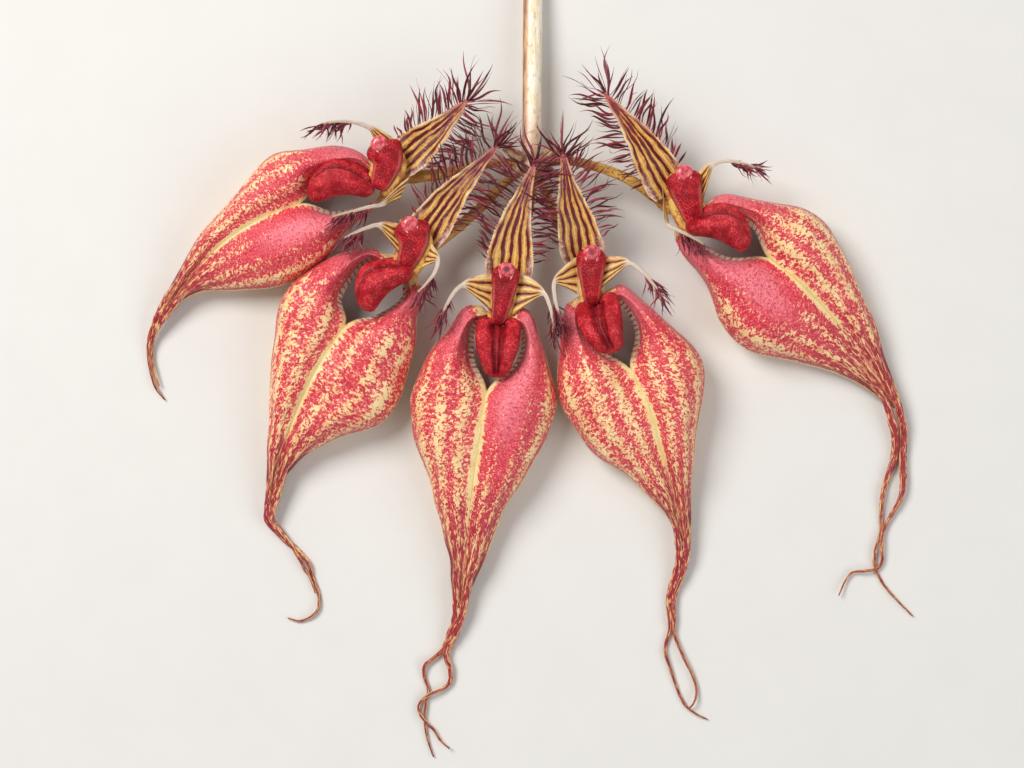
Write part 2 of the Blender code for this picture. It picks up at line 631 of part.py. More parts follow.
def lip_rings(flower, count, sides):
    """Rings of the tongue, with two shoulders and a groove, rolled about its length."""
    base, tip = (np.array([*p, LIP_BASE]) for p in flower["lip"])
    length = np.linalg.norm(tip - base)
    forward = (tip - base) / length
    level = np.array([forward[1], -forward[0], 0.0])
    roll = math.radians(flower["lip_roll"])
    left = level * math.cos(roll) + np.array([0.0, 0.0, math.sin(roll)])
    up = np.array([0.0, 0.0, math.cos(roll)]) - level * math.sin(roll)
    lift = np.array([0.0, 0.0, LIP_LIFT * abs(math.sin(roll))])
    share = np.linspace(0, 1, count)
    arch, spread, depth = (
        spline(v, share * (len(v) - 1))[:, 0] for v in (LIP_ARCH, LIP_SPREAD, LIP_DEPTH)
    )
    rings = []
    for t, rise, wide, deep in zip(share, arch, spread * LIP_WIDTH / 2, depth):
        ring = []
        for k in range(sides):
            angle = 2 * math.pi * k / sides
            x = wide * math.cos(angle)
            y = deep * math.sin(angle)
            if y > 0:
                y *= 1 - LIP_GROOVE * math.exp(-((x / (0.22 * wide)) ** 2))
            back = LIP_SHOULDER * (x / wide) ** 2 * max(0.0, 1 - t / 0.35)
            centre = base + lift + forward * (t * length - back) + up * rise
            ring.append(centre + left * x + up * y)
        rings.append(np.array(ring))
    return rings


def lip_object(name, flower, material):
    rings = lip_rings(flower, 8, 12)
    tip = rings[-1].mean(axis=0) + (rings[-1].mean(axis=0) - rings[-2].mean(axis=0)) * 0.35
    return new_object(name, *rings_mesh([r[::-1] for r in rings], tip), material)


def column_rings(flower, count, sides):
    """Short stout column, from its head to the foot that carries the lip."""
    knots = np.column_stack([flower["column"], COLUMN_HEIGHT])
    middle = spline(knots, steps(knots, count))
    along = np.gradient(middle, axis=0)
    along[:, 2] = 0
    along /= np.linalg.norm(along, axis=1)[:, None]
    wide, deep = (
        spline(v, steps(v, count))[:, 0] / 2 for v in (COLUMN_WIDTH, COLUMN_DEPTH)
    )
    turn = np.arange(sides) * 2 * math.pi / sides
    rings = []
    for i in range(count):
        sideways = np.array([along[i, 1], -along[i, 0], 0.0])
        ring = [
            middle[i] + sideways * wide[i] * math.cos(a) + np.array([0, 0, deep[i] * math.sin(a)])
            for a in turn
        ]
        rings.append(np.array(ring))
    return rings


def column_object(name, flower, material):
    rings = column_rings(flower, 7, 10)
    return new_object(name, *rings_mesh([r[::-1] for r in rings]), material)


def anther_cap(name, flower, material):
    """Low dome that closes the head of the column."""
    x, y = flower["anther"]
    foot = COLUMN_HEIGHT[0] + COLUMN_DEPTH[1] / 2 + CLEARANCE
    sides = 10
    turn = np.arange(sides) * 2 * math.pi / sides
    rings = []
    for angle in (0, 28, 56):
        r = CAP_RADIUS * math.cos(math.radians(angle))
        z = foot + CAP_RISE * math.sin(math.radians(angle))
        rings.append(np.column_stack([x + r * np.cos(turn), y + r * np.sin(turn), np.full(sides, z)]))
    return new_object(name, *rings_mesh(rings, np.array([x, y, foot + CAP_RISE])), material)


def stalk_object(name, flower, material):
    """Flower stalk from the hub, swelling into the ovary behind the flower."""
    first = np.asarray(flower["stalk"][0], float) - HUB
    start = np.asarray(HUB) + first / np.linalg.norm(first) * (HUB_RADIUS + CLEARANCE)
    route = [start, *flower["stalk"], flower["column"][1]]
    knots = np.column_stack([route, [*flower["stalk_height"], STALK_JOIN]])
    path = spline(knots, steps(knots, 12))
    radii = spline(STALK_RADIUS, steps(STALK_RADIUS, 12))[:, 0]
    return new_object(name, *tube(path, radii, 8), material)


def bract_object(name, flower, material):
    """Small pointed scale at the foot of a flower stalk."""
    aim = np.asarray(flower["bract"], float)
    out = aim - HUB
    length = np.linalg.norm(out)
    out /= length
    sideways = np.array([out[1], -out[0]])
    share = np.linspace(0, 1, 6)
    rows = []
    for t in share:
        middle = np.asarray(HUB) + out * (HUB_RADIUS + CLEARANCE + t * (length - HUB_RADIUS))
        half = BRACT_HALF * math.sin(math.pi * (0.28 + 0.68 * t)) + 0.1
        rise = HUB_HEIGHT + 3.2 + 1.6 * t
        rows.append([[*(middle + sideways * half * u), rise - 0.5 * u * u] for u in (-1, 0, 1)])
    surface = np.array(rows)
    index = np.arange(len(rows) * 3).reshape(-1, 3).tolist()
    return thicken(new_object(name, surface.reshape(-1, 3), grid_triangles(index, False), material))


def stem_object(name, material):
    """Bare stem, lying on its cut end and rising a little to the hub."""
    end = np.array([*STEM_END, STEM_RADIUS])
    hub = np.array([*HUB, HUB_HEIGHT])
    share = np.linspace(0, 1, 9)[:, None]
    path = end + (hub - end) * share
    radii = [STEM_RADIUS] * 9
    nose = hub + (hub - end) / np.linalg.norm(hub - end) * np.array([[0.9], [1.9], [2.5]])
    path = np.vstack([path, nose])
    radii += [HUB_RADIUS * 0.98, HUB_RADIUS * 0.8, HUB_RADIUS * 0.45]
    return new_object(name, *tube(path, radii, 12), material)


def main():
    clear_scene()
    paint = make_materials()
    stem_object("stem", paint["stem"])
    for key, flower in FLOWERS.items():
        stalk_object(key + "_stalk", flower, paint["stalk"])
        bract_object(key + "_bract", flower, paint["bract"])
        dorsal_sepal(key + "_dorsal_sepal", flower, paint["dorsal"])
        lateral_sepals(key + "_lateral_sepals", flower, paint["lateral"])
        for side, petal in flower["petals"].items():
            petal_object(f"{key}_petal_{side}", petal, paint["petal"])
        column_object(key + "_column", flower, paint["column"])
        anther_cap(key + "_anther_cap", flower, paint["anther"])
        lip_object(key + "_lip", flower, paint["lip"])


main()
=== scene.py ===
"""Looks of a cut bulbophyllum orchid umbel, laid face up on a pale table.

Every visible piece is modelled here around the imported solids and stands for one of
them. Lengths are in millimetres, in the frame of the solids, and become metres when
a mesh is made. Flowers are lettered from left to right, seen from above with the
stem at the top. Lists of sizes are read evenly along a part.
"""

import math
import random

import bpy
import numpy as np
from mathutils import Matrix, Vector


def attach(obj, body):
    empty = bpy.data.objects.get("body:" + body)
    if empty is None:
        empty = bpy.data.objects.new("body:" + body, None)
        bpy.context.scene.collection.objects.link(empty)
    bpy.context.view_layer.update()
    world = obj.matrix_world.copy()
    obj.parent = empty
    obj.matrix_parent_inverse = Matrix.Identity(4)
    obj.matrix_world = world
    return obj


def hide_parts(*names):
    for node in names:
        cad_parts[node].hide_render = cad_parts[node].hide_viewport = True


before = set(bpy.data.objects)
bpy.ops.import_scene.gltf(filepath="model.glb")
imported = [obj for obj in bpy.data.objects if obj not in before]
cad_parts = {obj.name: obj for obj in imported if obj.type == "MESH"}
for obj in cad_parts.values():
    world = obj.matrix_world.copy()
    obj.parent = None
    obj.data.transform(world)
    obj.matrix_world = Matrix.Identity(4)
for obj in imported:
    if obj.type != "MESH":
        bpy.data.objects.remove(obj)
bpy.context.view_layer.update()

MM = 0.001
SEED = 11

# Sockets of a node that mixes colours
MIX_FACTOR, MIX_FIRST, MIX_SECOND = 0, 6, 7
MIX_RESULT = 2

# Camera: straight above, at the distance from which a pixel covers a quarter millimetre
CAMERA_AT = (-4.75, -13.5, 610.0)
CAMERA_LENS = 85.0
SENSOR_WIDTH = 36.0
VIEW_DEPTH = 20000.0

# Studio, in metres and watts: place, width, power and colour of each light
LIGHTS = {
    "key": ((-0.55, 0.45, 0.85), 0.55, 10.2, (1.0, 0.98, 0.95)),
    "fill": ((0.75, -0.35, 0.70), 0.9, 3.8, (0.95, 0.97, 1.0)),
}
WORLD_STRENGTH = 0.33
FLOOR_SIZE = 6.0

# How far light scatters under a skin, in metres, for red, green and blue
SCATTER = (0.0012, 0.0005, 0.0003)

# Parts across a lateral sepal, from the seam to the flat edge below, and their columns
CLIMB, FALL, ROLL, FLAT = range(4)
LOBE_COLUMNS = {CLIMB: 22, FALL: 21, ROLL: 8}
# Column on the outline that shows from above
SILHOUETTE = LOBE_COLUMNS[CLIMB] + LOBE_COLUMNS[FALL]

# Heights of the two lateral sepals above the table, at stations 0 (under the column's
# foot), 1 (claw) and on to 8 (tip)
CREST = [10.6, 12.6, 14.8, 16.6, 17.0, 15.2, 11.8, 7.6, 3.9]
SEAM = [9.6, 10.0, 10.6, 10.4, 12.0, 13.4, 10.8, 7.0, 3.6]
SIDE = [9.7, 10.3, 11.0, 9.6, 7.4, 6.2, 5.2, 3.8, 2.9]
RIM = [9.0, 8.4, 7.6, 3.6, 0.0, 0.0, 0.0, 0.9, 2.1]
# Share of the width that is tucked under, and how slowly the inner face starts to climb
TUCK = [0.30, 0.30, 0.30, 0.30, 0.32, 0.34, 0.34, 0.32, 0.25]
LOW_INSIDE = [1.0, 1.0, 1.0, 0.8, 0.3, 0.0, 0.0, 0.0, 0.0]
LAST_STATION = 8
FIRST_JOINED = 4
CREST_AT = 0.46
FLAT_RIM = 1.1
FLAT_MOST = 0.12
FOOT_HALF = 2.8
CLEARANCE = 0.35
GROUND_GAP = 0.02
SEPAL_ROWS = 129
SEPAL_THICK = (0.62, 0.30)
SEPAL_VEINS = 6.0
VEIN_RISE = 0.13
SEPAL_RIPPLE = 0.30
RIPPLE_LENGTH = 13.0
CREASE_RISE = 0.10
CREASE_LENGTH = 3.0
STAIN_LEVEL = 0.484
FLANGE_WIDE = 2.1
FLANGE_DROP = 0.6
STREAK = 0.7

# Tails, from inside the sepal's tip to their end
TAIL_SIDES = 10
TAIL_SAMPLES = 7
TAIL_RADIUS = [0.35, 0.95, 1.05, 0.92, 0.66, 0.52, 0.46, 0.42, 0.38, 0.32, 0.20]
TAIL_HEIGHT = 0.95
TAIL_DROP = 1.9
TAIL_GAP = 0.03

# Lumps of a tube: two waves, each with its share of the radius, its folds round the
# tube and its radians to the millimetre
SMOOTH = (0, 0, 0, 0, 0, 0)
TAIL_LUMPS = (0.12, 3, 0.35, 0.06, 2, 1.7)
STALK_LUMPS = (0.05, 3, 0.2, 0.03, 1, 1.1)
STEM_LUMPS = (0.012, 5, 0.05, 0.008, 2, 0.8)
# Most that its lumps thicken a tail
TAIL_MOST = 1 + TAIL_LUMPS[0] + TAIL_LUMPS[3]

# Dorsal sepal
DORSAL_HEIGHT = [10.8, 12.9, 14.4, 13.8]
DORSAL_CUP = 1.5
DORSAL_TAPER = [0.86, 1.0, 0.91, 0.77, 0.57, 0.31, 0.09]
DORSAL_ROWS = 73
DORSAL_COLUMNS = 41
DORSAL_THICK = (0.50, 0.22)
DORSAL_STRIPES = 2.5
DORSAL_RIBS = 0.16
DORSAL_FRILL = 0.45
FRILL_LENGTH = 5.0

# Petals: the blade ends at PETAL_END along the list of heights, where the filament starts
PETAL_HEIGHT = [13.8, 14.9, 15.8, 17.4, 18.4, 18.2]
PETAL_END = 2.1
PETAL_ROWS = 61
PETAL_SIDES = 28
PETAL_STRIPES = 4.0
PETAL_TUCK = 1.4
PETAL_SINK = 0.35
PETAL_THICK = 0.26
PETAL_ROLL = 0.55
FILAMENT = (0.58, 0.30)

# Lip: its sizes along it from root to tip, and how far turned flowers show it on its side
LIP_BASE = 13.4
LIP_ARCH = [0.0, 3.0, 4.3, 4.2, 3.0, 0.9]
LIP_WIDTH = 11.2
LIP_SPREAD = [0.94, 1.0, 0.94, 0.80, 0.63, 0.42]
LIP_DEPTH = [1.3, 1.9, 2.1, 2.1, 1.8, 1.0]
LIP_ROWS = 90
LIP_OVER = 64
LIP_UNDER = 26
LIP_SHOULDER = 2.6
LIP_LIFT = 2.3
LIP_GROOVE = 1.9
LIP_CHANNEL = 1.7
LIP_RIDGE = 0.95
LIP_SWELL = 0.9
LIP_BELLY = 1.4
LIP_TURN = 1.7
LIP_GIRTH = 0.14

# Column, from cap to foot, and anther cap
COLUMN_HEIGHT = [15.6, 14.6, 14.0]
COLUMN_WIDTH = [6.4, 7.0, 6.3, 5.2, 4.3, 3.8]
COLUMN_DEPTH = [3.8, 4.6, 4.5, 4.0, 3.2, 2.6]
COLUMN_ROWS = 64
COLUMN_SIDES = 56
COLUMN_TOP = 0.8
COLUMN_FOOT = 1.7
COLUMN_SIDE = 0.50
WING_HEIGHT = [14.6, 13.6, 12.8, 11.6]
WING_RADIUS = {"near": 0.75, "far": 1.5}
WING_OUT = {"near": 0.86, "far": 0.95}
WING_ROWS = 40
WING_SIDES = 20
CAP_RADIUS = 2.05
CAP_SINK = 1.2
CAP_RISE = 1.9
CAP_DIMPLE = 0.30
CAP_ROWS = 30
CAP_SIDES = 40
TOOTH_RADIUS = 0.30
TOOTH_ROWS = 8
TOOTH_SIDES = 10

# Stem, hub, flower stalks and bracts
STEM_RADIUS = 2.35
STEM_END = (0.75, 107.5)
STEM_ROWS = 160
STEM_SIDES = 40
HUB = (0.0, 41.2)
HUB_HEIGHT = 7.6
HUB_RADIUS = 2.7
NOSE_ROWS = 14
NOSE_LENGTH = 2.4
STALK_RADIUS = [1.0, 1.15, 1.25, 1.45, 1.7, 1.5]
STALK_JOIN = 9.7
STALK_ROWS = 80
STALK_SIDES = 18
BRACT_HALF = 1.25
BRACT_THICK = 0.25
BRACT_RISE = 3.2
BRACT_ROWS = 25
BRACT_COLUMNS = 13

# Fringes. The second material of a piece is that of its hairs
HAIR = 1
FRINGE_SIDE = 32
FRINGE_TIP = 14
FRINGE_SAMPLES = 201
FRINGE_LENGTH = (6.5, 11.5)
TIP_LENGTH = (6.5, 13.0)
TUFT = 38
TUFT_LENGTH = (3.0, 7.5)
TUFT_SHARE = 0.36
TUFT_WIDE = 0.8
PALEA_ROWS = 11
PALEA_WIDE = 0.27
PALEA_THICK = 0.11
HAIR_TOP = 22.2

FLOWERS = {
    "a": {
        "left": [(-38.5, 40.5), (-44.8, 45.0), (-54.5, 45.0), (-64.2, 43.6),
                 (-73.6, 34.2), (-81.8, 24.6), (-88.6, 14.0), (-93.8, 5.2)],
        "right": [(-38.0, 31.0), (-41.0, 28.8), (-46.4, 23.6), (-53.2, 15.8),
                  (-62.5, 11.0), (-73.0, 9.9), (-84.0, 9.2), (-92.0, 4.0)],
        "seam": [(-57.0, 31.25), (-67.25, 27.25), (-76.5, 21.5), (-84.75, 13.5),
                 (-92.0, 4.25)],
        "gap_left": [(-38.0, 36.5), (-42.75, 40.0), (-52.5, 37.25)],
        "gap_right": [(-37.25, 32.75), (-40.5, 30.75), (-49.0, 29.5)],
        "tails": [
            [(-94.5, 1.25), (-96.0, -3.0), (-96.25, -6.75), (-95.75, -10.5),
             (-94.5, -14.25), (-92.25, -17.5)],
            [(-93.5, 1.25), (-95.25, -3.0), (-95.5, -6.75), (-94.75, -10.5),
             (-93.5, -14.0)],
        ],
        "dorsal": [(-33.0, 41.0), (-27.5, 45.5), (-22.0, 50.0), (-15.75, 56.5)],
        "dorsal_width": 10.0,
        "petals": {
            "left": {"root": [(-34.4, 47.3), (-38.4, 45.5)],
                     "arc": [(-39.75, 49.5), (-43.25, 50.6), (-47.5, 50.8), (-51.5, 50.2)],
                     "tuft": (-1.0, -1.2)},
            "right": {"root": [(-31.25, 36.5), (-33.5, 31.5)],
                      "arc": [(-36.5, 30.75), (-39.5, 30.0), (-44.0, 28.75), (-48.75, 27.5)],
                      "tuft": (-0.4, -1.0)},
        },
        "column": [(-36.8, 45.5), (-34.3, 41.0), (-37.3, 36.0)],
        "anther": (-38.0, 45.6),
        "lip": [(-41.5, 35.6), (-55.0, 32.6)],
        "lip_roll": -36,
        "stalk": [(-7.5, 41.5), (-13.5, 40.75), (-21.0, 39.0), (-27.0, 38.25), (-31.5, 38.25)],
        "stalk_height": [8.6, 9.4, 9.6, 9.0, 8.4, 8.0],
        "bract": (-6.6, 44.7),
    },
    "b": {
        "left": [(-36.0, 18.6), (-41.5, 20.2), (-52.0, 16.6), (-62.0, 7.4),
                 (-64.7, -8.5), (-65.5, -22.0), (-66.2, -35.0), (-66.7, -44.5)],
        "right": [(-28.0, 12.2), (-26.4, 9.0), (-28.4, 2.6), (-30.2, -10.0),
                  (-36.4, -22.0), (-49.4, -27.6), (-58.2, -32.6), (-64.2, -42.6)],
        "seam": [(-46.0, 1.0), (-53.25, -9.75), (-58.25, -20.25), (-62.75, -32.25),
                 (-65.0, -43.75)],
        "gap_left": [(-33.25, 13.75), (-39.75, 17.0), (-46.75, 8.25)],
        "gap_right": [(-31.75, 11.25), (-32.5, 7.5), (-38.25, 3.75)],
        "tails": [
            [(-66.0, -47.25), (-64.0, -50.0), (-61.25, -53.25), (-58.25, -56.0),
             (-56.0, -58.75), (-55.0, -62.25), (-53.5, -66.25), (-53.5, -69.75),
             (-55.25, -72.0), (-58.25, -73.25), (-61.25, -72.5)],
            [(-65.25, -47.25), (-63.25, -50.25), (-60.5, -53.75), (-58.5, -57.0),
             (-57.0, -60.0), (-55.5, -62.5), (-54.25, -66.25)],
        ],
        "dorsal": [(-26.75, 22.25), (-22.5, 29.0), (-16.75, 36.0), (-8.25, 45.25)],
        "dorsal_width": 10.0,
        "petals": {
            "left": {"root": [(-31.75, 25.5), (-33.0, 18.75)],
                     "arc": [(-37.5, 25.5), (-40.5, 24.75), (-43.25, 23.5), (-45.75, 22.25)],
                     "tuft": (-0.2, -1.0)},
            "right": {"root": [(-24.75, 21.5), (-26.25, 14.5)],
                      "arc": [(-23.0, 17.0), (-23.75, 13.75), (-25.75, 11.0), (-27.75, 9.0)],
                      "tuft": (0.1, -1.0)},
        },
        "column": [(-29.8, 26.0), (-28.0, 21.2), (-30.8, 16.5)],
        "anther": (-29.8, 25.6),
        "lip": [(-32.6, 14.0), (-41.2, 4.6)],
        "lip_roll": -36,
        "stalk": [(-7.0, 36.25), (-11.75, 31.25), (-16.75, 26.75), (-21.5, 23.0), (-25.5, 20.5)],
        "stalk_height": [5.6, 7.0, 8.2, 8.6, 8.3, 8.0],
        "bract": (-6.4, 37.9),
    },
    "c": {
        "left": [(-13.0, 5.8), (-17.8, 4.0), (-24.6, -5.5), (-30.2, -16.8),
                 (-28.6, -27.6), (-24.9, -40.0), (-21.0, -54.5), (-19.5, -69.0)],
        "right": [(-4.2, 5.2), (0.0, 3.6), (3.6, -7.0), (6.2, -18.6),
                  (2.8, -28.8), (-4.8, -41.5), (-11.4, -56.5), (-16.6, -69.6)],
        "seam": [(-11.0, -15.25), (-12.75, -25.5), (-14.75, -39.25), (-16.25, -54.25),
                 (-17.75, -69.5)],
        "gap_left": [(-11.0, 1.75), (-13.75, 0.0), (-14.0, -7.25)],
        "gap_right": [(-5.75, 0.75), (-2.5, -1.0), (-3.75, -7.75)],
        "tails": [
            [(-18.75, -72.25), (-20.25, -76.75), (-21.75, -80.0), (-24.0, -82.25),
             (-26.75, -84.5), (-26.75, -87.5), (-25.75, -90.75), (-26.5, -94.25),
             (-26.75, -98.0), (-26.0, -103.0), (-24.5, -107.5)],
            [(-17.5, -72.25), (-19.25, -76.75), (-21.0, -80.0), (-21.25, -82.25),
             (-20.25, -85.5), (-20.5, -88.75), (-22.5, -90.5), (-25.25, -91.5),
             (-27.75, -93.5), (-28.25, -95.75), (-26.75, -98.25), (-24.5, -100.5),
             (-22.75, -103.25), (-20.5, -105.25)],
        ],
        "dorsal": [(-5.75, 11.75), (-5.0, 19.5), (-3.25, 28.5), (0.75, 40.75)],
        "dorsal_width": 12.0,
        "petals": {
            "left": {"root": [(-9.75, 13.5), (-10.5, 4.5)],
                     "arc": [(-16.75, 10.75), (-19.25, 8.5), (-21.0, 5.25), (-22.5, 1.75)],
                     "tuft": (-0.3, -1.0)},
            "right": {"root": [(-1.75, 13.25), (-3.25, 4.0)],
                      "arc": [(3.0, 8.75), (4.5, 5.75), (5.25, 2.25), (5.5, -1.75)],
                      "tuft": (0.15, -1.0)},
        },
        "column": [(-6.1, 15.0), (-6.7, 9.0), (-8.0, 2.8)],
        "anther": (-6.0, 14.0),
        "lip": [(-8.1, 0.6), (-8.7, -12.0)],
        "lip_roll": 0,
        "stalk": [(0.0, 33.5), (-1.5, 26.0), (-3.5, 19.5), (-5.0, 14.0), (-5.75, 10.0)],
        "stalk_height": [8.8, 8.6, 8.4, 8.2, 8.0, 7.8],
        "bract": (-1.5, 34.2),
    },
    "d": {
        "left": [(10.5, 7.2), (8.0, 4.4), (6.9, -6.0), (7.4, -18.5),
                 (13.8, -28.8), (24.6, -37.2), (32.8, -45.0), (36.6, -52.2)],
        "right": [(19.6, 10.0), (24.0, 10.4), (33.5, 2.0), (43.0, -8.8),
                  (42.2, -21.5), (40.7, -33.5), (40.2, -44.0), (40.1, -54.0)],
        "seam": [(24.5, -9.75), (29.0, -19.25), (32.25, -30.0), (35.5, -41.0),
                 (38.25, -53.0)],
        "gap_left": [(12.75, 4.0), (13.25, 0.5), (18.0, -5.25)],
        "gap_right": [(18.75, 5.5), (21.75, 6.5), (25.75, -0.5)],
        "tails": [
            [(37.25, -57.5), (36.5, -61.75), (35.25, -65.5), (34.75, -69.25),
             (35.0, -73.0), (35.0, -75.5), (34.0, -79.25), (34.0, -81.75),
             (35.25, -85.5), (36.75, -90.0), (38.75, -94.25), (41.5, -96.5), (44.5, -98.0)],
            [(38.75, -57.5), (37.75, -61.75), (36.25, -65.5), (35.75, -69.25),
             (36.0, -73.0), (36.0, -75.5), (36.75, -78.25), (38.75, -83.0),
             (40.75, -87.0), (41.75, -90.75), (41.0, -93.75), (39.75, -95.25)],
        ],
        "dorsal": [(13.25, 16.5), (11.5, 24.5), (9.5, 32.5), (7.75, 43.75)],
        "dorsal_width": 11.0,
        "petals": {
            "left": {"root": [(10.0, 17.0), (10.0, 8.75)],
                     "arc": [(5.75, 11.5), (5.75, 7.75), (6.5, 4.5), (7.75, 1.25)],
                     "tuft": (0.2, -1.0)},
            "right": {"root": [(18.0, 17.75), (17.25, 9.75)],
                      "arc": [(24.0, 16.25), (27.5, 13.75), (30.0, 10.75), (32.25, 7.75)],
                      "tuft": (0.4, -1.0)},
        },
        "column": [(14.8, 19.2), (14.6, 13.0), (14.9, 7.6)],
        "anther": (14.8, 18.4),
        "lip": [(16.6, 5.6), (20.6, -5.8)],
        "lip_roll": -8,
        "stalk": [(3.75, 34.0), (6.5, 27.25), (9.5, 21.5), (12.0, 17.0), (13.25, 13.5)],
        "stalk_height": [5.8, 7.2, 8.0, 8.0, 8.0, 7.8],
        "bract": (6.25, 38.0),
    },
    "e": {
        "left": [(35.4, 24.0), (37.2, 19.6), (42.8, 12.4), (46.8, 2.4),
                 (55.4, -5.6), (66.0, -8.0), (78.5, -11.6), (90.2, -19.0)],
        "right": [(43.5, 31.4), (48.5, 33.6), (57.5, 31.8), (70.2, 29.2),
                  (76.8, 21.2), (82.4, 10.0), (87.8, -3.6), (93.0, -18.0)],
        "seam": [(58.5, 17.75), (66.0, 11.5), (73.5, 4.25), (82.0, -5.5), (91.5, -19.5)],
        "gap_left": [(39.0, 25.75), (41.25, 21.75), (49.25, 18.0)],
        "gap_right": [(42.5, 28.0), (46.0, 29.5), (54.5, 25.5)],
        "tails": [
            [(90.75, -23.25), (91.75, -27.5), (91.5, -32.25), (89.75, -37.0),
             (88.5, -41.75), (88.25, -46.75), (88.25, -50.5), (87.0, -54.5),
             (86.5, -58.0), (87.25, -61.0), (89.25, -64.5), (92.25, -68.0), (96.25, -72.0)],
            [(93.25, -22.75), (93.75, -27.0), (93.5, -33.0), (93.75, -38.75),
             (92.75, -43.0), (90.5, -47.0), (88.75, -50.5), (88.25, -54.25),
             (88.5, -57.75), (87.25, -60.0), (84.25, -60.5), (81.0, -61.0),
             (79.25, -63.0), (77.5, -66.75)],
        ],
        "dorsal": [(34.75, 33.75), (30.25, 41.25), (25.5, 48.5), (18.0, 58.25)],
        "dorsal_width": 10.5,
        "petals": {
            "left": {"root": [(32.5, 33.5), (33.75, 27.0)],
                     "arc": [(33.5, 25.75), (36.0, 24.25), (39.25, 22.5), (42.25, 20.75)],
                     "tuft": (0.3, -1.0)},
            "right": {"root": [(41.25, 38.5), (42.75, 32.75)],
                      "arc": [(44.5, 40.25), (47.75, 41.25), (51.75, 40.5), (55.75, 39.25)],
                      "tuft": (1.0, -0.7)},
        },
        "column": [(37.2, 38.2), (38.2, 32.6), (40.2, 27.0)],
        "anther": (37.8, 38.6),
        "lip": [(43.0, 25.1), (53.4, 20.0)],
        "lip_roll": 34,
        "stalk": [(7.5, 42.25), (16.75, 40.25), (25.0, 37.0), (31.0, 33.25), (34.75, 30.5)],
        "stalk_height": [8.6, 9.4, 9.6, 9.0, 8.4, 8.0],
        "bract": (6.6, 44.4),
    },
}

# How far a solid flush spreads over each flower's left and right lateral sepal
FLUSH = {"a": (0.25, 0.90), "b": (0.08, 0.20), "c": (0.05, 0.95), "d": (0.0, 0.12), "e": (1.0, 0.0)}
# How wide the pale band beside the seam is
BAND = {"a": 0.5, "b": 0.65, "c": 1.0, "d": 0.75, "e": 0.7}
# How far the lip reaches back under the column
LIP_BACK = {"a": 0.5, "b": 0.5, "c": 0.0, "d": 0.0, "e": 2.4}

# Colours, as red, green and blue from 0 to 255. First those of the lateral sepals
CREAM = (255, 228, 166)
SAND = (250, 212, 144)
TAN = (236, 184, 116)
DUST = (120, 104, 84)
CRIMSON = (228, 58, 76)
PINK = (250, 122, 136)
CARMINE = (178, 26, 48)
ROSE = (255, 160, 160)
RUBY = (188, 30, 52)
MAROON = (104, 14, 28)
SALMON = (250, 150, 130)
CLAY = (200, 104, 74)
BAR_PALE = (255, 244, 214)
BAR_RED = (186, 44, 56)
# Dorsal sepals and petals
OCHRE = (196, 134, 52)
STRAW = (226, 174, 84)
# Painted highlight on the raised ridges between the stripes
RIDGE_HIGHLIGHT = (250, 220, 148)
RUST = (160, 70, 40)
STRIPE = (92, 10, 26)
STRIPE_TIP = (120, 20, 38)
CORNER_GREY = (150, 96, 104)
CORNER_PINK = (230, 190, 180)
FILAMENT_PALE = (255, 236, 216)
EDGE_CREAM = (250, 224, 176)
EDGE_ROSE = (206, 92, 104)
# Fringe hairs
HAIR_DARK = (72, 8, 22)
HAIR_LIGHT = (172, 62, 78)
HAIR_MARGIN = (208, 118, 126)
HAIR_STREAK = (96, 14, 30)
HAIR_FOOT = (110, 30, 34)
# Lips and columns: dark (also painted shade), middle and light (painted glints), then what both share
LIP_REDS = [(168, 16, 30), (236, 52, 64), (250, 132, 132)]
COLUMN_REDS = [(146, 8, 22), (208, 26, 40), (236, 92, 96)]
# Painted shade in hollows: the lip's channel, its side edges and underside, and the column's cavity
HOLLOW_SHADE = (92, 8, 18)
FLESH_EDGE = (240, 150, 140)
BACK_OCHRE = (236, 190, 100)
BACK_BROWN = (196, 112, 60)
# Anther caps
CAP_RED = (214, 52, 70)
CAP_PINK = (242, 124, 130)
CAP_MOUTH = (122, 50, 60)
TOOTH_PALE = (244, 214, 206)
# Stalks, bracts and stem
STALK_BROWN = (182, 122, 44)
STALK_OCHRE = (222, 172, 88)
FRECKLE = (112, 36, 24)
BRACT_STRAW = (206, 168, 112)
BRACT_PALE = (232, 206, 160)
BRACT_PURPLE = (132, 84, 96)
STEM_CREAM = (244, 218, 170)
STEM_PALE = (255, 246, 226)
STEM_OCHRE = (204, 144, 74)
STEM_BROWN = (150, 88, 50)
STEM_FLECK = (156, 84, 76)
STEM_PINK = (222, 170, 150)
STEM_CUT = (206, 196, 140)
# Floor
FLOOR_DARK = (226, 224, 220)
FLOOR_LIGHT = (232, 230, 226)


def spline(points, at):
    """Catmull-Rom curve through the points, read at fractional point numbers."""
    knots = np.asarray(points, float)
    if knots.ndim == 1:
        knots = knots[:, None]
    before = 2 * knots[0] - knots[1]
    after = 2 * knots[-1] - knots[-2]
    padded = np.vstack([before, knots, after])
    at = np.clip(np.atleast_1d(np.asarray(at, float)), 0, len(knots) - 1)
    first = np.minimum(at.astype(int), len(knots) - 2)
    f = (at - first)[:, None]
    p0, p1, p2, p3 = (padded[first + k] for k in range(4))
    return 0.5 * (
        2 * p1
        + (p2 - p0) * f
        + (2 * p0 - 5 * p1 + 4 * p2 - p3) * f**2
        + (3 * p1 - p0 - 3 * p2 + p3) * f**3
    )


def steps(points, count):
    """Fractional point numbers of count samples spread along a list of points."""
    return np.linspace(0, len(points) - 1, count)


def line(points, count):
    """Smooth line of count samples through a list of points."""
    return spline(points, steps(points, count))


def raised(plan, heights):
    """Points of a plan with their heights."""
    return np.column_stack([plan, heights])


def ease(start, end, value):
    """Smooth step from 0 at start to 1 at end, in either direction."""
    t = np.clip((np.asarray(value, float) - start) / (end - start), 0, 1)
    return t * t * (3 - 2 * t)


def bell(value, middle, width):
    """Bump of height 1 at the middle that has faded to about a third one width away."""
    return np.exp(-(((value - middle) / width) ** 2))


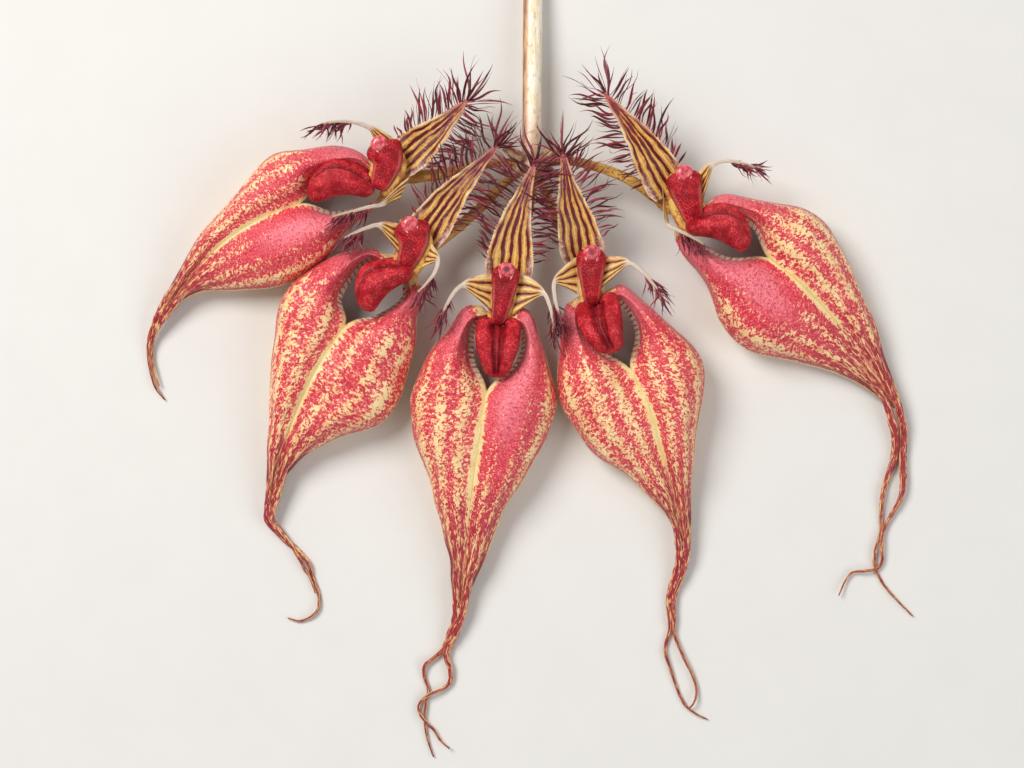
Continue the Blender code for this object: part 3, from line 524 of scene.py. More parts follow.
def waves(points, length, seed):
    """Smooth random ripple, roughly from -1 to 1, with bumps about length apart."""
    rng = np.random.default_rng(seed)
    total = np.zeros(len(points))
    for _ in range(7):
        aim = rng.normal(size=points.shape[1])
        aim *= 2 * math.pi / (length * rng.uniform(0.7, 1.6) * np.linalg.norm(aim))
        total += np.sin(points @ aim + rng.uniform(0, 2 * math.pi))
    return total / 3.2


def unit(vectors):
    """The same directions at length one."""
    vectors = np.asarray(vectors, float)
    return vectors / np.linalg.norm(vectors, axis=-1, keepdims=True)


def triples(*grids):
    """Three grids or numbers, spread to one shape, as rows of three values."""
    return np.stack(np.broadcast_arrays(*grids), axis=-1).reshape(-1, 3).astype(float)


def circle(count):
    """Angles of count points spread round a ring."""
    return 2 * math.pi * np.arange(count) / count


def grid_quads(rows, columns, closed=False):
    """Quads of a grid of points stored row by row. A closed one joins its last column to its first."""
    i, j = np.meshgrid(np.arange(rows - 1), np.arange(columns if closed else columns - 1), indexing="ij")
    a = i * columns + j
    b = i * columns + (j + 1) % columns
    return np.stack([a, b, b + columns, a + columns], axis=-1).reshape(-1, 4)


def sheet_normals(points, quads):
    """Directions that stand square on a sheet at its points."""
    corner = points[quads]
    cross = np.cross(corner[:, 2] - corner[:, 0], corner[:, 3] - corner[:, 1])
    total = np.zeros_like(points)
    for k in range(4):
        np.add.at(total, quads[:, k], cross)
    return unit(total + (0, 0, 1e-12))


def skin(points, quads, triangles, flow, tone, paint=0):
    """One closed part of a piece, with its faces turned outward.

    flow and tone are three numbers a point, read by its material. paint is the number
    of that material among those of the piece.
    """
    quads = np.asarray(quads, int).reshape(-1, 4)
    triangles = np.asarray(triangles, int).reshape(-1, 3)
    thirds = np.vstack([quads[:, :3], quads[:, [0, 2, 3]], triangles])
    corner = points[thirds]
    volume = np.sum(corner[:, 0] * np.cross(corner[:, 1], corner[:, 2]))
    if volume < 0:
        quads = quads[:, ::-1]
        triangles = triangles[:, ::-1]
    faces = quads.tolist() + triangles.tolist()
    return {"points": points, "faces": faces, "flow": flow, "tone": tone, "paint": paint}


def slab(points, quads, thick, flow, tone):
    """Gives a sheet its thickness: its own face, a second one below it, and the rim between."""
    count = len(points)
    below = points - sheet_normals(points, quads) * np.asarray(thick).reshape(-1, 1)
    edges = np.vstack([quads[:, [k, (k + 1) % 4]] for k in range(4)])
    open_edge = ~np.isin(edges[:, 0] * count + edges[:, 1], edges[:, 1] * count + edges[:, 0])
    rim = edges[open_edge]
    wall = np.column_stack([rim[:, 1], rim[:, 0], rim[:, 0] + count, rim[:, 1] + count])
    faces = np.vstack([quads, quads[:, ::-1] + count, wall])
    return skin(np.vstack([points, below]), faces, [], np.tile(flow, (2, 1)), np.tile(tone, (2, 1)))


def loft(rings, flow, tone, paint=0):
    """Closed skin over rings of points, rounded off at both ends by a middle point."""
    rings = np.asarray(rings)
    rows, sides = rings.shape[:2]
    points = rings.reshape(-1, 3)
    triangles = []
    for row, turn in ((0, 1), (rows - 1, -1)):
        middle = len(points)
        here = slice(row * sides, (row + 1) * sides)
        points = np.vstack([points, rings[row].mean(axis=0)])
        flow = np.vstack([flow, flow[here].mean(axis=0)])
        tone = np.vstack([tone, tone[here].mean(axis=0)])
        for j in range(sides):
            pair = (row * sides + (j + 1) % sides, row * sides + j)
            triangles.append((*pair[::turn], middle))
    return skin(points, grid_quads(rows, sides, closed=True), triangles, flow, tone, paint)


def plain_loft(rings, tone):
    """Closed skin whose material reads no flow."""
    return loft(rings, np.zeros_like(tone), tone)


def frames_along(path):
    """Two cross directions at each point of a path, without twist."""
    tangent = unit(np.gradient(path, axis=0))
    side = np.cross(tangent[0], (0, 0, 1))
    across = []
    for t in tangent:
        side = unit(side - t * (side @ t))
        across.append(side)
    across = np.array(across)
    return across, np.cross(across, tangent)


def lengths_along(path):
    """Distance of each point of a path from its first."""
    return np.concatenate([[0], np.cumsum(np.linalg.norm(np.diff(path, axis=0), axis=1))])


def swelling(lumps, along, turn, start):
    """How much thicker than its radius a tube is, at lengths along it and angles round it."""
    large, folds, drift, small, creases, pace = lumps
    first = large * np.cos(folds * turn + along * drift + start)
    return 1 + first + small * np.sin(along * pace + creases * turn)


def tube(path, radii, sides, tone, seed=0.0, flat=1.0, lumps=SMOOTH, start=0.0):
    """Round or flattened skin along a path. flow holds the turn, the length along it and the seed."""
    across, up = frames_along(path)
    turn = circle(sides)
    along = lengths_along(path)[:, None]
    radii = radii[:, None] * swelling(lumps, along, turn, start)
    rings = (
        path[:, None, :]
        + (radii * np.cos(turn))[..., None] * across[:, None, :]
        + (radii * flat * np.sin(turn))[..., None] * up[:, None, :]
    )
    tone = np.repeat(np.asarray(tone, float).reshape(-1, 3) * np.ones((len(path), 3)), sides, axis=0)
    return loft(rings, triples(turn / (2 * math.pi), along, seed), tone)


def palea(root, direction, length, rng, wide=PALEA_WIDE):
    """One flattened, pointed hair of a fringe, bent and twisted a little along its length."""
    share = np.linspace(0, 1, PALEA_ROWS)
    direction = unit(direction)
    side = unit(np.cross(direction, [rng.uniform(-1, 1), rng.uniform(-1, 1), rng.uniform(0.3, 1)]))
    lift = np.cross(side, direction)
    bend = side * rng.uniform(-0.3, 0.3) + lift * rng.uniform(-0.3, 0.3) - direction * 0.03
    sway = side * rng.uniform(-0.08, 0.08)
    path = (
        np.asarray(root)
        + direction * (share * length)[:, None]
        + bend * (share**2 * length)[:, None]
        + sway * (np.sin(share * 2 * math.pi) * length)[:, None]
    )
    path[:, 2] -= max(0.0, path[:, 2].max() - HAIR_TOP) * share
    half = wide * (0.42 + 0.75 * np.sin(math.pi * share**0.75)) * (1 - share**5) + 0.02
    thick = PALEA_THICK * (1 - 0.75 * share)
    twist = (rng.uniform(0, math.pi) + share * rng.uniform(-2.2, 2.2))[:, None]
    a = (side * np.cos(twist) + lift * np.sin(twist)) * half[:, None]
    b = (lift * np.cos(twist) - side * np.sin(twist)) * thick[:, None]
    rings = np.stack([path + a, path + b, path - a, path - b], axis=1)
    flow = triples(np.array([1.0, 0.0, 1.0, 0.0]), share[:, None], rng.uniform(0, 50))
    return loft(rings, flow, np.full(flow.shape, rng.uniform(0, 1)), HAIR)


def new_piece(node, parts, paints):
    """Joins closed parts into one visible piece that stands for a solid of the frame."""
    points = np.vstack([p["points"] for p in parts])
    faces, numbers = [], []
    start = 0
    for p in parts:
        faces += [[corner + start for corner in face] for face in p["faces"]]
        numbers += [p["paint"]] * len(p["faces"])
        start += len(p["points"])
    mesh = bpy.data.meshes.new(node + "_looks")
    mesh.from_pydata((points * MM).tolist(), [], faces)
    mesh.polygons.foreach_set("material_index", numbers)
    for label in ("flow", "tone"):
        values = np.vstack([p[label] for p in parts]).astype(np.float32)
        attribute = mesh.attributes.new(label, "FLOAT_VECTOR", "POINT")
        attribute.data.foreach_set("vector", values.ravel())
    mesh.shade_smooth()
    for paint in paints:
        mesh.materials.append(paint)
    piece = bpy.data.objects.new(node + "_looks", mesh)
    bpy.context.scene.collection.objects.link(piece)
    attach(piece, "root")
    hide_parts(node)


def shade(colour):
    """Linear colour, fully opaque, from the 0 to 255 values of a screen."""
    values = (v / 255 for v in colour)
    linear = (v / 12.92 if v <= 0.04045 else ((v + 0.055) / 1.055) ** 2.4 for v in values)
    return (*linear, 1.0)


class Paint:
    """A material built up one node at a time."""

    def __init__(self, name, roughness=0.5, specular=0.5, sheen=0.0, coat=0.0, subsurface=0.0):
        self.material = bpy.data.materials.new(name)
        self.material.use_nodes = True
        self.tree = self.material.node_tree
        self.shader = self.tree.nodes["Principled BSDF"]
        self.feed(self.shader, {
            "Roughness": roughness,
            "Specular IOR Level": specular,
            "Sheen Weight": sheen,
            "Coat Weight": coat,
            "Subsurface Weight": subsurface,
            "Subsurface Radius": SCATTER,
            "Subsurface Scale": 1.0,
        })

    def feed(self, node, inputs):
        """Sets each input of a node to a value, or links it to another node's output."""
        for name, value in inputs.items():
            if isinstance(value, bpy.types.NodeSocket):
                self.tree.links.new(value, node.inputs[name])
            else:
                node.inputs[name].default_value = value

    def node(self, kind, inputs, **settings):
        """Outputs of a new node, once its settings and inputs are made."""
        made = self.tree.nodes.new(kind)
        for name, value in settings.items():
            setattr(made, name, value)
        self.feed(made, inputs)
        return made.outputs

    def attribute(self, name):
        """The three numbers that a mesh keeps at its points under a name."""
        return self.node("ShaderNodeAttribute", {}, attribute_name=name)["Vector"]

    def split(self, vector):
        """The three numbers of a vector."""
        return tuple(self.node("ShaderNodeSeparateXYZ", {0: vector}))

    def place(self):
        """Position on the object, in metres."""
        return self.node("ShaderNodeTexCoord", {})["Object"]

    def math(self, operation, a, b=0.0):
        """Result of one operation on one or two values."""
        return self.node("ShaderNodeMath", {0: a, 1: b}, operation=operation)[0]

    def times(self, a, b):
        """Product of two values."""
        return self.math("MULTIPLY", a, b)

    def plus(self, a, b):
        """Sum of two values."""
        return self.math("ADD", a, b)

    def around(self, value, amount):
        """A value that lies around a half, moved to lie around 0 and scaled."""
        return self.times(self.math("SUBTRACT", value, 0.5), amount)

    def stretch(self, vector, factors):
        """A vector with each of its numbers scaled."""
        return self.node("ShaderNodeVectorMath", {0: vector, 1: factors}, operation="MULTIPLY")[0]

    def noise(self, vector, scale, detail=2.0, roughness=0.5, distortion=0.0):
        """Cloudy values around a half."""
        inputs = {"Vector": vector, "Scale": scale, "Detail": detail}
        inputs.update({"Roughness": roughness, "Distortion": distortion})
        return self.node("ShaderNodeTexNoise", inputs)[0]

    def grain(self, flow, across, along, detail=2.0, roughness=0.5, distortion=0.0):
        """Noise that runs along a part: so many spots to each unit of flow across and along it."""
        return self.noise(self.stretch(flow, (across, along, 1.0)), 1.0, detail, roughness, distortion)

    def cells(self, vector, scale):
        """Distance from the middles of scattered cells."""
        inputs = {"Vector": vector, "Scale": scale}
        return self.node("ShaderNodeTexVoronoi", inputs, feature="F1")["Distance"]

    def between(self, value, start, end, most=1.0):
        """0 at start, most at end, and smooth between them."""
        inputs = {"Value": value, "From Min": start, "From Max": end, "To Max": most}
        return self.node("ShaderNodeMapRange", inputs, interpolation_type="SMOOTHSTEP")["Result"]

    def mix(self, factor, first, second):
        """From the first colour at 0 to the second at 1. A tuple is a colour from 0 to 255."""
        first, second = (shade(c) if isinstance(c, tuple) else c for c in (first, second))
        inputs = {MIX_FACTOR: factor, MIX_FIRST: first, MIX_SECOND: second}
        return self.node("ShaderNodeMix", inputs, data_type="RGBA")[MIX_RESULT]

    def done(self, colour, height=None, depth=0.0):
        """Feeds colour, and relief of a depth in millimetres, to the shader."""
        self.feed(self.shader, {"Base Color": colour})
        if height is not None:
            bump = self.node("ShaderNodeBump", {"Distance": depth * MM, "Height": height})
            self.feed(self.shader, {"Normal": bump[0]})
        return self.material


def lateral_paint():
    """Crimson blotches in rows on cream. tone holds the stain, the darkness and the barred flange."""
    p = Paint("mottled_sepal", roughness=0.38, sheen=0.08, subsurface=0.05)
    flow = p.attribute("flow")
    across, along, _ = p.split(flow)
    stain, dark, flange = p.split(p.attribute("tone"))
    blots = p.grain(flow, 6.0, 1.40, 2.0, 0.6, 0.7)
    fine = p.grain(flow, 13.0, 2.6, 3.0, 0.62)
    patches = p.grain(flow, 1.1, 0.22)
    rows = p.math("COSINE", p.times(across, 2 * math.pi))
    level = p.plus(blots, p.times(rows, -0.068))
    for value, amount in ((fine, 0.42), (patches, 0.18), (stain, 0.62)):
        level = p.plus(level, p.around(value, amount))
    ground = p.mix(p.between(patches, 0.40, 0.62), CREAM, SAND)
    ground = p.mix(dark, ground, TAN)
    speck = p.times(p.between(fine, 0.60, 0.66), p.between(stain, 0.30, 0.05, 0.6))
    ground = p.mix(speck, ground, DUST)
    red = p.mix(p.between(stain, 0.70, 1.0), CRIMSON, PINK)
    red = p.mix(p.between(fine, 0.52, 0.66, 0.70), red, CARMINE)
    red = p.mix(p.between(fine, 0.48, 0.34, 0.70), red, ROSE)
    red = p.mix(p.between(blots, 0.54, 0.64, 0.70), red, RUBY)
    red = p.mix(dark, red, MAROON)
    colour = p.mix(p.between(level, 0.425, 0.480), ground, p.mix(dark, SALMON, CLAY))
    colour = p.mix(p.between(level, 0.492, 0.535), colour, red)
    bars = p.math("SINE", p.plus(p.times(along, 4.4), p.times(blots, 9.0)))
    colour = p.mix(flange, colour, p.mix(p.between(bars, 0.40, 0.80), BAR_PALE, BAR_RED))
    return p.done(colour, p.plus(fine, p.times(level, 0.8)), 0.14)


def striped_paint(name, stripes):
    """Maroon stripes on ochre, running along, with a painted highlight on the raised ridges between them.

    tone holds the darkening near the tip (below 0 it turns pale, as on a filament), the
    pale edge, and the grey corners at the base.
    """
    p = Paint(name, roughness=0.38, sheen=0.05, subsurface=0.05)
    flow = p.attribute("flow")
    across, _, _ = p.split(flow)
    net, edge, corner = p.split(p.attribute("tone"))
    wander = p.grain(flow, 1.6, 0.16, 1.0)
    fine = p.grain(flow, 10.0, 1.2, 3.0, 0.6)
    blots = p.grain(flow, 4.0, 0.40)
    stripe = p.math("COSINE", p.plus(p.times(across, stripes * 2 * math.pi), p.around(wander, 4.0)))
    stripe = p.plus(stripe, p.around(blots, 1.3))
    stripe = p.plus(stripe, p.times(net, -0.12))
    ground = p.mix(p.between(fine, 0.38, 0.66), OCHRE, STRAW)
    # Painted highlight: paler on the raised ridges between the stripes
    ground = p.mix(p.between(stripe, -0.30, -0.95, 0.6), ground, RIDGE_HIGHLIGHT)
    colour = p.mix(p.between(stripe, 0.48, 0.68), ground, RUST)
    colour = p.mix(p.between(stripe, 0.60, 0.80), colour, p.mix(net, STRIPE, STRIPE_TIP))
    colour = p.mix(corner, colour, p.mix(p.between(fine, 0.42, 0.60), CORNER_GREY, CORNER_PINK))
    rose = p.math("MAXIMUM", p.between(blots, 0.48, 0.62, 0.6), p.between(net, 0.35, 0.80))
    colour = p.mix(p.between(net, 0.0, -1.0), colour, FILAMENT_PALE)
    colour = p.mix(edge, colour, p.mix(rose, EDGE_CREAM, EDGE_ROSE))
    return p.done(colour, p.plus(fine, p.times(stripe, -0.6)), 0.14)


def hair_paint():
    """Fringe hairs, from dark maroon to pink, paler at their margins. tone picks the hair's own shade."""
    p = Paint("fringe_hair", roughness=0.42)
    flow = p.attribute("flow")
    side, along, _ = p.split(flow)
    pick, _, _ = p.split(p.attribute("tone"))
    streak = p.grain(flow, 3.0, 9.0)
    colour = p.mix(p.between(pick, 0.25, 0.95), HAIR_DARK, HAIR_LIGHT)
    colour = p.mix(p.between(side, 0.55, 1.0, 0.55), colour, HAIR_MARGIN)
    colour = p.mix(p.between(streak, 0.50, 0.66), colour, HAIR_STREAK)
    colour = p.mix(p.between(along, 0.1, 0.0, 0.6), colour, HAIR_FOOT)
    return p.done(colour, streak, 0.04)


def fleshy_paint(name, dark, middle, light):
    """Fleshy and finely pimpled. tone holds painted shade in a hollow, a pale edge and an ochre back."""
    p = Paint(name, roughness=0.38, specular=0.28, subsurface=0.05)
    hollow, edge, back = p.split(p.attribute("tone"))
    place = p.place()
    bead = p.cells(place, 2500.0)
    broad = p.noise(place, 420.0, 3.0, 0.6)
    colour = p.mix(p.between(broad, 0.36, 0.64), dark, middle)
    # Painted shade: darker in the crevices between the pimples
    colour = p.mix(p.between(bead, 0.34, 0.66, 0.7), colour, dark)
    # Painted glints on the tips of the pimples
    glint = p.times(p.between(bead, 0.42, 0.16), p.between(broad, 0.38, 0.66, 0.85))
    colour = p.mix(glint, colour, light)
    # Painted shade: darker in the lip's channel, along its side edges, under it, and in the column's
    # cavity
    colour = p.mix(hollow, colour, HOLLOW_SHADE)
    colour = p.mix(edge, colour, FLESH_EDGE)
    colour = p.mix(back, colour, p.mix(p.between(broad, 0.46, 0.60), BACK_OCHRE, BACK_BROWN))
    return p.done(colour, p.math("SUBTRACT", 0.6, bead), 0.17)


def anther_paint():
    """Waxy pink cap. tone holds its dark mouth and the pale teeth."""
    p = Paint("anther_cap", roughness=0.24, specular=0.6, coat=0.2)
    mouth, tooth, _ = p.split(p.attribute("tone"))
    cloud = p.noise(p.place(), 900.0, 3.0, 0.6)
    colour = p.mix(p.between(cloud, 0.38, 0.62), CAP_RED, CAP_PINK)
    colour = p.mix(mouth, colour, CAP_MOUTH)
    colour = p.mix(tooth, colour, TOOTH_PALE)
    return p.done(colour, cloud, 0.05)


def stalk_paint():
    """Ochre flower stalk, freckled with maroon."""
    p = Paint("flower_stalk")
    place = p.place()
    freckle = p.noise(place, 1500.0, 3.0, 0.6)
    colour = p.mix(p.between(p.noise(place, 260.0), 0.35, 0.65), STALK_BROWN, STALK_OCHRE)
    colour = p.mix(p.between(freckle, 0.55, 0.63, 0.85), colour, FRECKLE)
    return p.done(colour, freckle, 0.08)


def bract_paint():
    """Dry papery scale, straw with a purple-grey flush and fine veins."""
    p = Paint("bract", roughness=0.62)
    flow = p.attribute("flow")
    veins = p.grain(flow, 9.0, 0.7, 3.0, 0.6)
    colour = p.mix(p.between(veins, 0.4, 0.62), BRACT_STRAW, BRACT_PALE)
    colour = p.mix(p.between(p.grain(flow, 1.0, 0.5), 0.42, 0.62, 0.7), colour, BRACT_PURPLE)
    return p.done(colour, veins, 0.08)


def stem_paint():
    """Cream stem with an ochre-brown side, fine flecks and a pink-beige end by the hub.

    tone holds the brown side, the nearness to the hub and the cut end.
    """
    p = Paint("stem", roughness=0.42)
    side, near, cut = p.split(p.attribute("tone"))
    place = p.place()
    streak = p.noise(p.stretch(place, (1.0, 0.12, 1.0)), 900.0, 4.0, 0.6)
    fleck = p.noise(p.stretch(place, (1.0, 0.35, 1.0)), 1600.0, 3.0, 0.6)
    colour = p.mix(p.between(streak, 0.36, 0.56), STEM_CREAM, STEM_PALE)
    colour = p.mix(p.times(side, 0.85), colour, STEM_OCHRE)
    colour = p.mix(p.times(side, p.between(streak, 0.38, 0.58)), colour, STEM_BROWN)
    flecked = p.times(p.between(fleck, 0.56, 0.64), p.plus(p.times(near, 0.4), 0.35))
    colour = p.mix(flecked, colour, STEM_FLECK)
    colour = p.mix(p.times(near, 0.55), colour, STEM_PINK)
    colour = p.mix(cut, colour, STEM_CUT)
    return p.done(colour, streak, 0.08)


def lobe_edges(flower, side):
    """Stations of a lobe's inner edge, along the gap and the shared seam, and its outer one."""
    heel, foot = np.asarray(flower["column"][-2:], float)
    down = unit(foot - heel)
    away = np.array([-down[1], down[0]]) * (1 if side == "right" else -1)
    inner = [foot + away * CLEARANCE, *flower["gap_" + side], *flower["seam"]]
    outer = [foot + away * FOOT_HALF - down, *flower[side]]
    return inner, outer


def lobe_surface(flower, side, stations, across):
    """Points of one lateral sepal's outer face.

    across holds (part, fraction) pairs. The sepal climbs from the seam to its crest,
    falls from there to its silhouette, rolls under to the rim, and ends in the flat
    edge on which it lies.
    """
    inner, outer = (spline(edge, stations) for edge in lobe_edges(flower, side))
    crest, seam, low_side, rim, tuck, low = (
        spline(h, stations)[:, 0] for h in (CREST, SEAM, SIDE, RIM, TUCK, LOW_INSIDE)
    )
    span = np.linalg.norm(outer - inner, axis=1)
    rim = np.maximum(rim, 0)
    columns = []
    for part, f in across:
        angle = f * math.pi / 2
        if part == CLIMB:
            where = CREST_AT * f * np.ones_like(crest)
            height = seam + (crest - seam) * (low * f**2 * (3 - 2 * f) + (1 - low) * (1 - (1 - f) ** 2))
        elif part == FALL:
            where = CREST_AT + (1 - CREST_AT) * math.sin(angle) * np.ones_like(crest)
            height = low_side + (crest - low_side) * math.cos(angle)
        elif part == ROLL:
            where = 1 - tuck * (1 - math.cos(angle))
            height = low_side - (low_side - rim) * math.sin(angle)
        else:
            where = 1 - tuck - f * np.minimum(FLAT_RIM / span, FLAT_MOST)
            height = rim
        plan = inner + (outer - inner) * where[:, None]
        columns.append(np.column_stack([plan, height]))
    return np.stack(columns, axis=1)


def lobe_columns():
    """Part and fraction of every column across a lobe."""
    columns = []
    for part, count in LOBE_COLUMNS.items():
        columns += [(part, f) for f in np.linspace(0, 1, count, endpoint=False)]
    return columns + [(ROLL, 1), (FLAT, 1)]


def lobe_relief(flat, share, s, seed):
    """Height of the veins, ripples and creases over a lobe's smooth face."""
    inside = ease(0.0, 0.10, share) * ease(1.0, 0.86, share) * ease(0.2, 1.2, s) * ease(8.0, 7.2, s)
    veins = np.cos(2 * math.pi * SEPAL_VEINS * share) * VEIN_RISE
    ripple = waves(flat[:, :2], RIPPLE_LENGTH, seed).reshape(s.shape) * SEPAL_RIPPLE
    grid = np.column_stack([share.ravel() * 14, s.ravel() * 3])
    crease = waves(grid, CREASE_LENGTH, seed + 40).reshape(s.shape) * CREASE_RISE
    return (veins + ripple + crease) * inside


def lobe_tone(key, side, reach, share, s, opening):
    """Stain, darkness and barred flange over a lobe, from the distance to its seam and its stations."""
    flange = (1 - ease(FLANGE_WIDE * 0.75, FLANGE_WIDE * 1.05, reach)) * opening
    outline = reach - reach[:, [SILHOUETTE]]
    below = ease(0.0, 1.5, outline)
    claw = ease(1.7, 1.0, s)
    base = ease(1.0, 1.9, s) * ease(4.0, 2.2, s)
    flush = FLUSH[key][side == "right"] * bell(s, 4.1, 1.5) * bell(share, 0.21, 0.18)
    band = ease(2.0 * BAND[key], 0.3, reach) * ease(2.9, 3.5, s) * ease(6.8, 5.6, s)
    margin = 0.45 * bell(outline, -0.5, 0.45) - 0.30 * bell(outline, -1.7, 0.5)
    more = 0.40 * base + 0.55 * flush + 0.08 * ease(5.0, 7.0, s)
    less = 0.50 * band * (1 - 0.4 * flush) + margin * ease(1.5, 2.5, s) + 0.16 * below + 0.30 * claw
    stain = STAIN_LEVEL + more - less
    lined = bell(outline, -1.6, 0.7) * ease(1.5, 2.5, s)
    dark = 0.62 * ease(5.4, 7.6, s) + 0.25 * below + 0.55 * claw + 0.30 * lined
    return triples(np.clip(stain, 0, 1.1), np.clip(dark, 0, 0.85), flange)


def lobe_sheet(key, flower, side):
    """Fine sheet of one lateral sepal: its points, quads, flow, tone and thickness."""
    stations = np.linspace(0, LAST_STATION, SEPAL_ROWS)
    surface = lobe_surface(flower, side, stations, lobe_columns())
    gaps = np.linalg.norm(np.diff(surface, axis=1), axis=2)
    reach = np.concatenate([np.zeros((SEPAL_ROWS, 1)), np.cumsum(gaps, axis=1)], axis=1)
    share = reach / reach[:, -1:]
    s = stations[:, None] * np.ones_like(share)
    opening = ease(0.4, 1.2, s) * ease(4.0, 3.2, s)
    flat = surface.reshape(-1, 3)
    quads = grid_quads(*share.shape)
    if side == "right":
        quads = quads[:, ::-1]
    lift = lobe_relief(flat, share, s, SEED + ord(key) * 2 + (side == "right"))
    points = flat + sheet_normals(flat, quads) * lift.reshape(-1, 1)
    points[:, 2] -= ((1 - ease(0, FLANGE_WIDE, reach)) * opening * FLANGE_DROP).ravel()
    points[:, 2] = np.maximum(points[:, 2], GROUND_GAP)
    pace = 1 - STREAK * ease(5.6, 7.2, stations)
    along = np.cumsum(np.gradient(lengths_along(surface[:, surface.shape[1] // 3])) * pace)
    flow = triples(share * SEPAL_VEINS + 20 * (side == "right"), along[:, None], ord(key) * 7.3)
    tone = lobe_tone(key, side, reach, share, s, opening)
    inner, outer = SEPAL_THICK
    thick = inner + (outer - inner) * (1 - ease(0, 0.06, share) * ease(1.0, 0.92, share))
    return points, quads, flow, tone, thick.ravel()


def lateral_sepals(key, flower, paint):
    """Two lateral sepals, joined along their seam, with their tails."""
    left = lobe_sheet(key, flower, "left")
    right = lobe_sheet(key, flower, "right")
    count = len(left[0])
    seam = np.arange(SEPAL_ROWS * FIRST_JOINED // LAST_STATION, SEPAL_ROWS) * (count // SEPAL_ROWS)
    number = np.arange(count) + count
    number[seam] = seam
    quads = np.vstack([left[1], number[right[1]]])
    keep = np.ones(2 * count, bool)
    keep[count + seam] = False
    place = np.cumsum(keep) - 1
    points, flow, tone, thick = (
        np.concatenate([left[k], right[k]])[keep] for k in (0, 2, 3, 4)
    )
    parts = [slab(points, place[quads], thick, flow, tone)]
    parts += [tail(key, flower, side, k) for k, side in enumerate(("left", "right"))]
    new_piece(key + "_lateral_sepals", parts, [paint])


def tail(key, flower, side, number):
    """One tail, from inside the sepal's tip, down to the table and along it."""
    start = lobe_surface(flower, side, [7.2, 7.75], [(FALL, 0.2)])[:, 0]
    start[:, 2] -= 0.35
    route = np.asarray(flower["tails"][number], float)
    count = np.arange(len(route))
    drop = np.exp(-count / 1.3)
    ripple = 0.7 * np.maximum(0, np.sin(count * 1.9 + 1.3 * number)) + 0.45 * number
    heights = TAIL_HEIGHT + TAIL_DROP * drop + (ripple - 0.4) * (1 - drop)
    knots = np.vstack([start, raised(route, heights)])
    path = line(knots, len(knots) * TAIL_SAMPLES)
    radii = line(TAIL_RADIUS, len(path))[:, 0]
    path[:, 2] = np.maximum(path[:, 2], radii * TAIL_MOST + TAIL_GAP)
    share = np.linspace(0, 1, len(path))
    tone = triples(0.56 - 0.08 * share, 0.60 + 0.25 * share, 0)
    part = tube(path, radii, TAIL_SIDES, tone, ord(key) * 3.1 + number, lumps=TAIL_LUMPS, start=number)
    part["flow"] *= (2.4, 1 - STREAK, 1)
    return part


def dorsal_frame(flower, count):
    """Middle line of the dorsal sepal, its cross direction and its half width."""
    middle = line(raised(flower["dorsal"], DORSAL_HEIGHT), count)
    along = unit(np.gradient(middle[:, :2], axis=0))
    sideways = np.column_stack([along[:, 1], -along[:, 0], np.zeros(count)])
    half = flower["dorsal_width"] / 2 * line(DORSAL_TAPER, count)[:, 0]
    return middle, sideways, half


def dorsal_surface(flower, count, across):
    """Shallow trough whose margins rise, widest just above its base and drawn out at the tip."""
    middle, sideways, half = dorsal_frame(flower, count)
    points = middle[:, None] + (half[:, None] * across)[..., None] * sideways[:, None]
    points[..., 2] += DORSAL_CUP * (half / half.max())[:, None] * (across**2 - 0.35)
    return points


def dorsal_sepal(key, flower, paint, hair):
    """Ribbed and frilled blade of a dorsal sepal, with its fringe."""
    u = np.linspace(-1, 1, DORSAL_COLUMNS)
    out = np.abs(u)
    share = np.linspace(0, 1, DORSAL_ROWS)[:, None]
    surface = dorsal_surface(flower, DORSAL_ROWS, u)
    flat = surface.reshape(-1, 3)
    quads = grid_quads(DORSAL_ROWS, DORSAL_COLUMNS)[:, ::-1]
    fade = ease(0, 0.08, share) * ease(1.0, 0.8, share)
    ribs = -DORSAL_RIBS * np.cos(2 * math.pi * DORSAL_STRIPES * u) * fade
    frill = waves(flat[:, :2], FRILL_LENGTH, SEED + ord(key)).reshape(DORSAL_ROWS, DORSAL_COLUMNS)
    frill = DORSAL_FRILL * frill * out**4 * fade
    points = flat + sheet_normals(flat, quads) * (ribs + frill).reshape(-1, 1)
    along = lengths_along(surface[:, DORSAL_COLUMNS // 2])[:, None]
    net = ease(0.45, 0.95, share) * (1 - 0.4 * out)
    rim = 0.93 - 0.40 * share**2
    edge = np.maximum(ease(0, 1, (out - rim) / (0.98 - rim)) * 0.9, 0.8 * ease(0.90, 0.99, share))
    corner = ease(0.66, 0.95, out) * ease(0.34, 0.16, share) * 0.9
    thick = DORSAL_THICK[0] + (DORSAL_THICK[1] - DORSAL_THICK[0]) * np.tile(out, DORSAL_ROWS) ** 3
    parts = [slab(points, quads, thick, triples(u, along, ord(key) * 5.7), triples(net, edge, corner))]
    parts += dorsal_fringe(flower, random.Random(SEED + ord(key)))
    new_piece(key + "_dorsal_sepal", parts, [paint, hair])


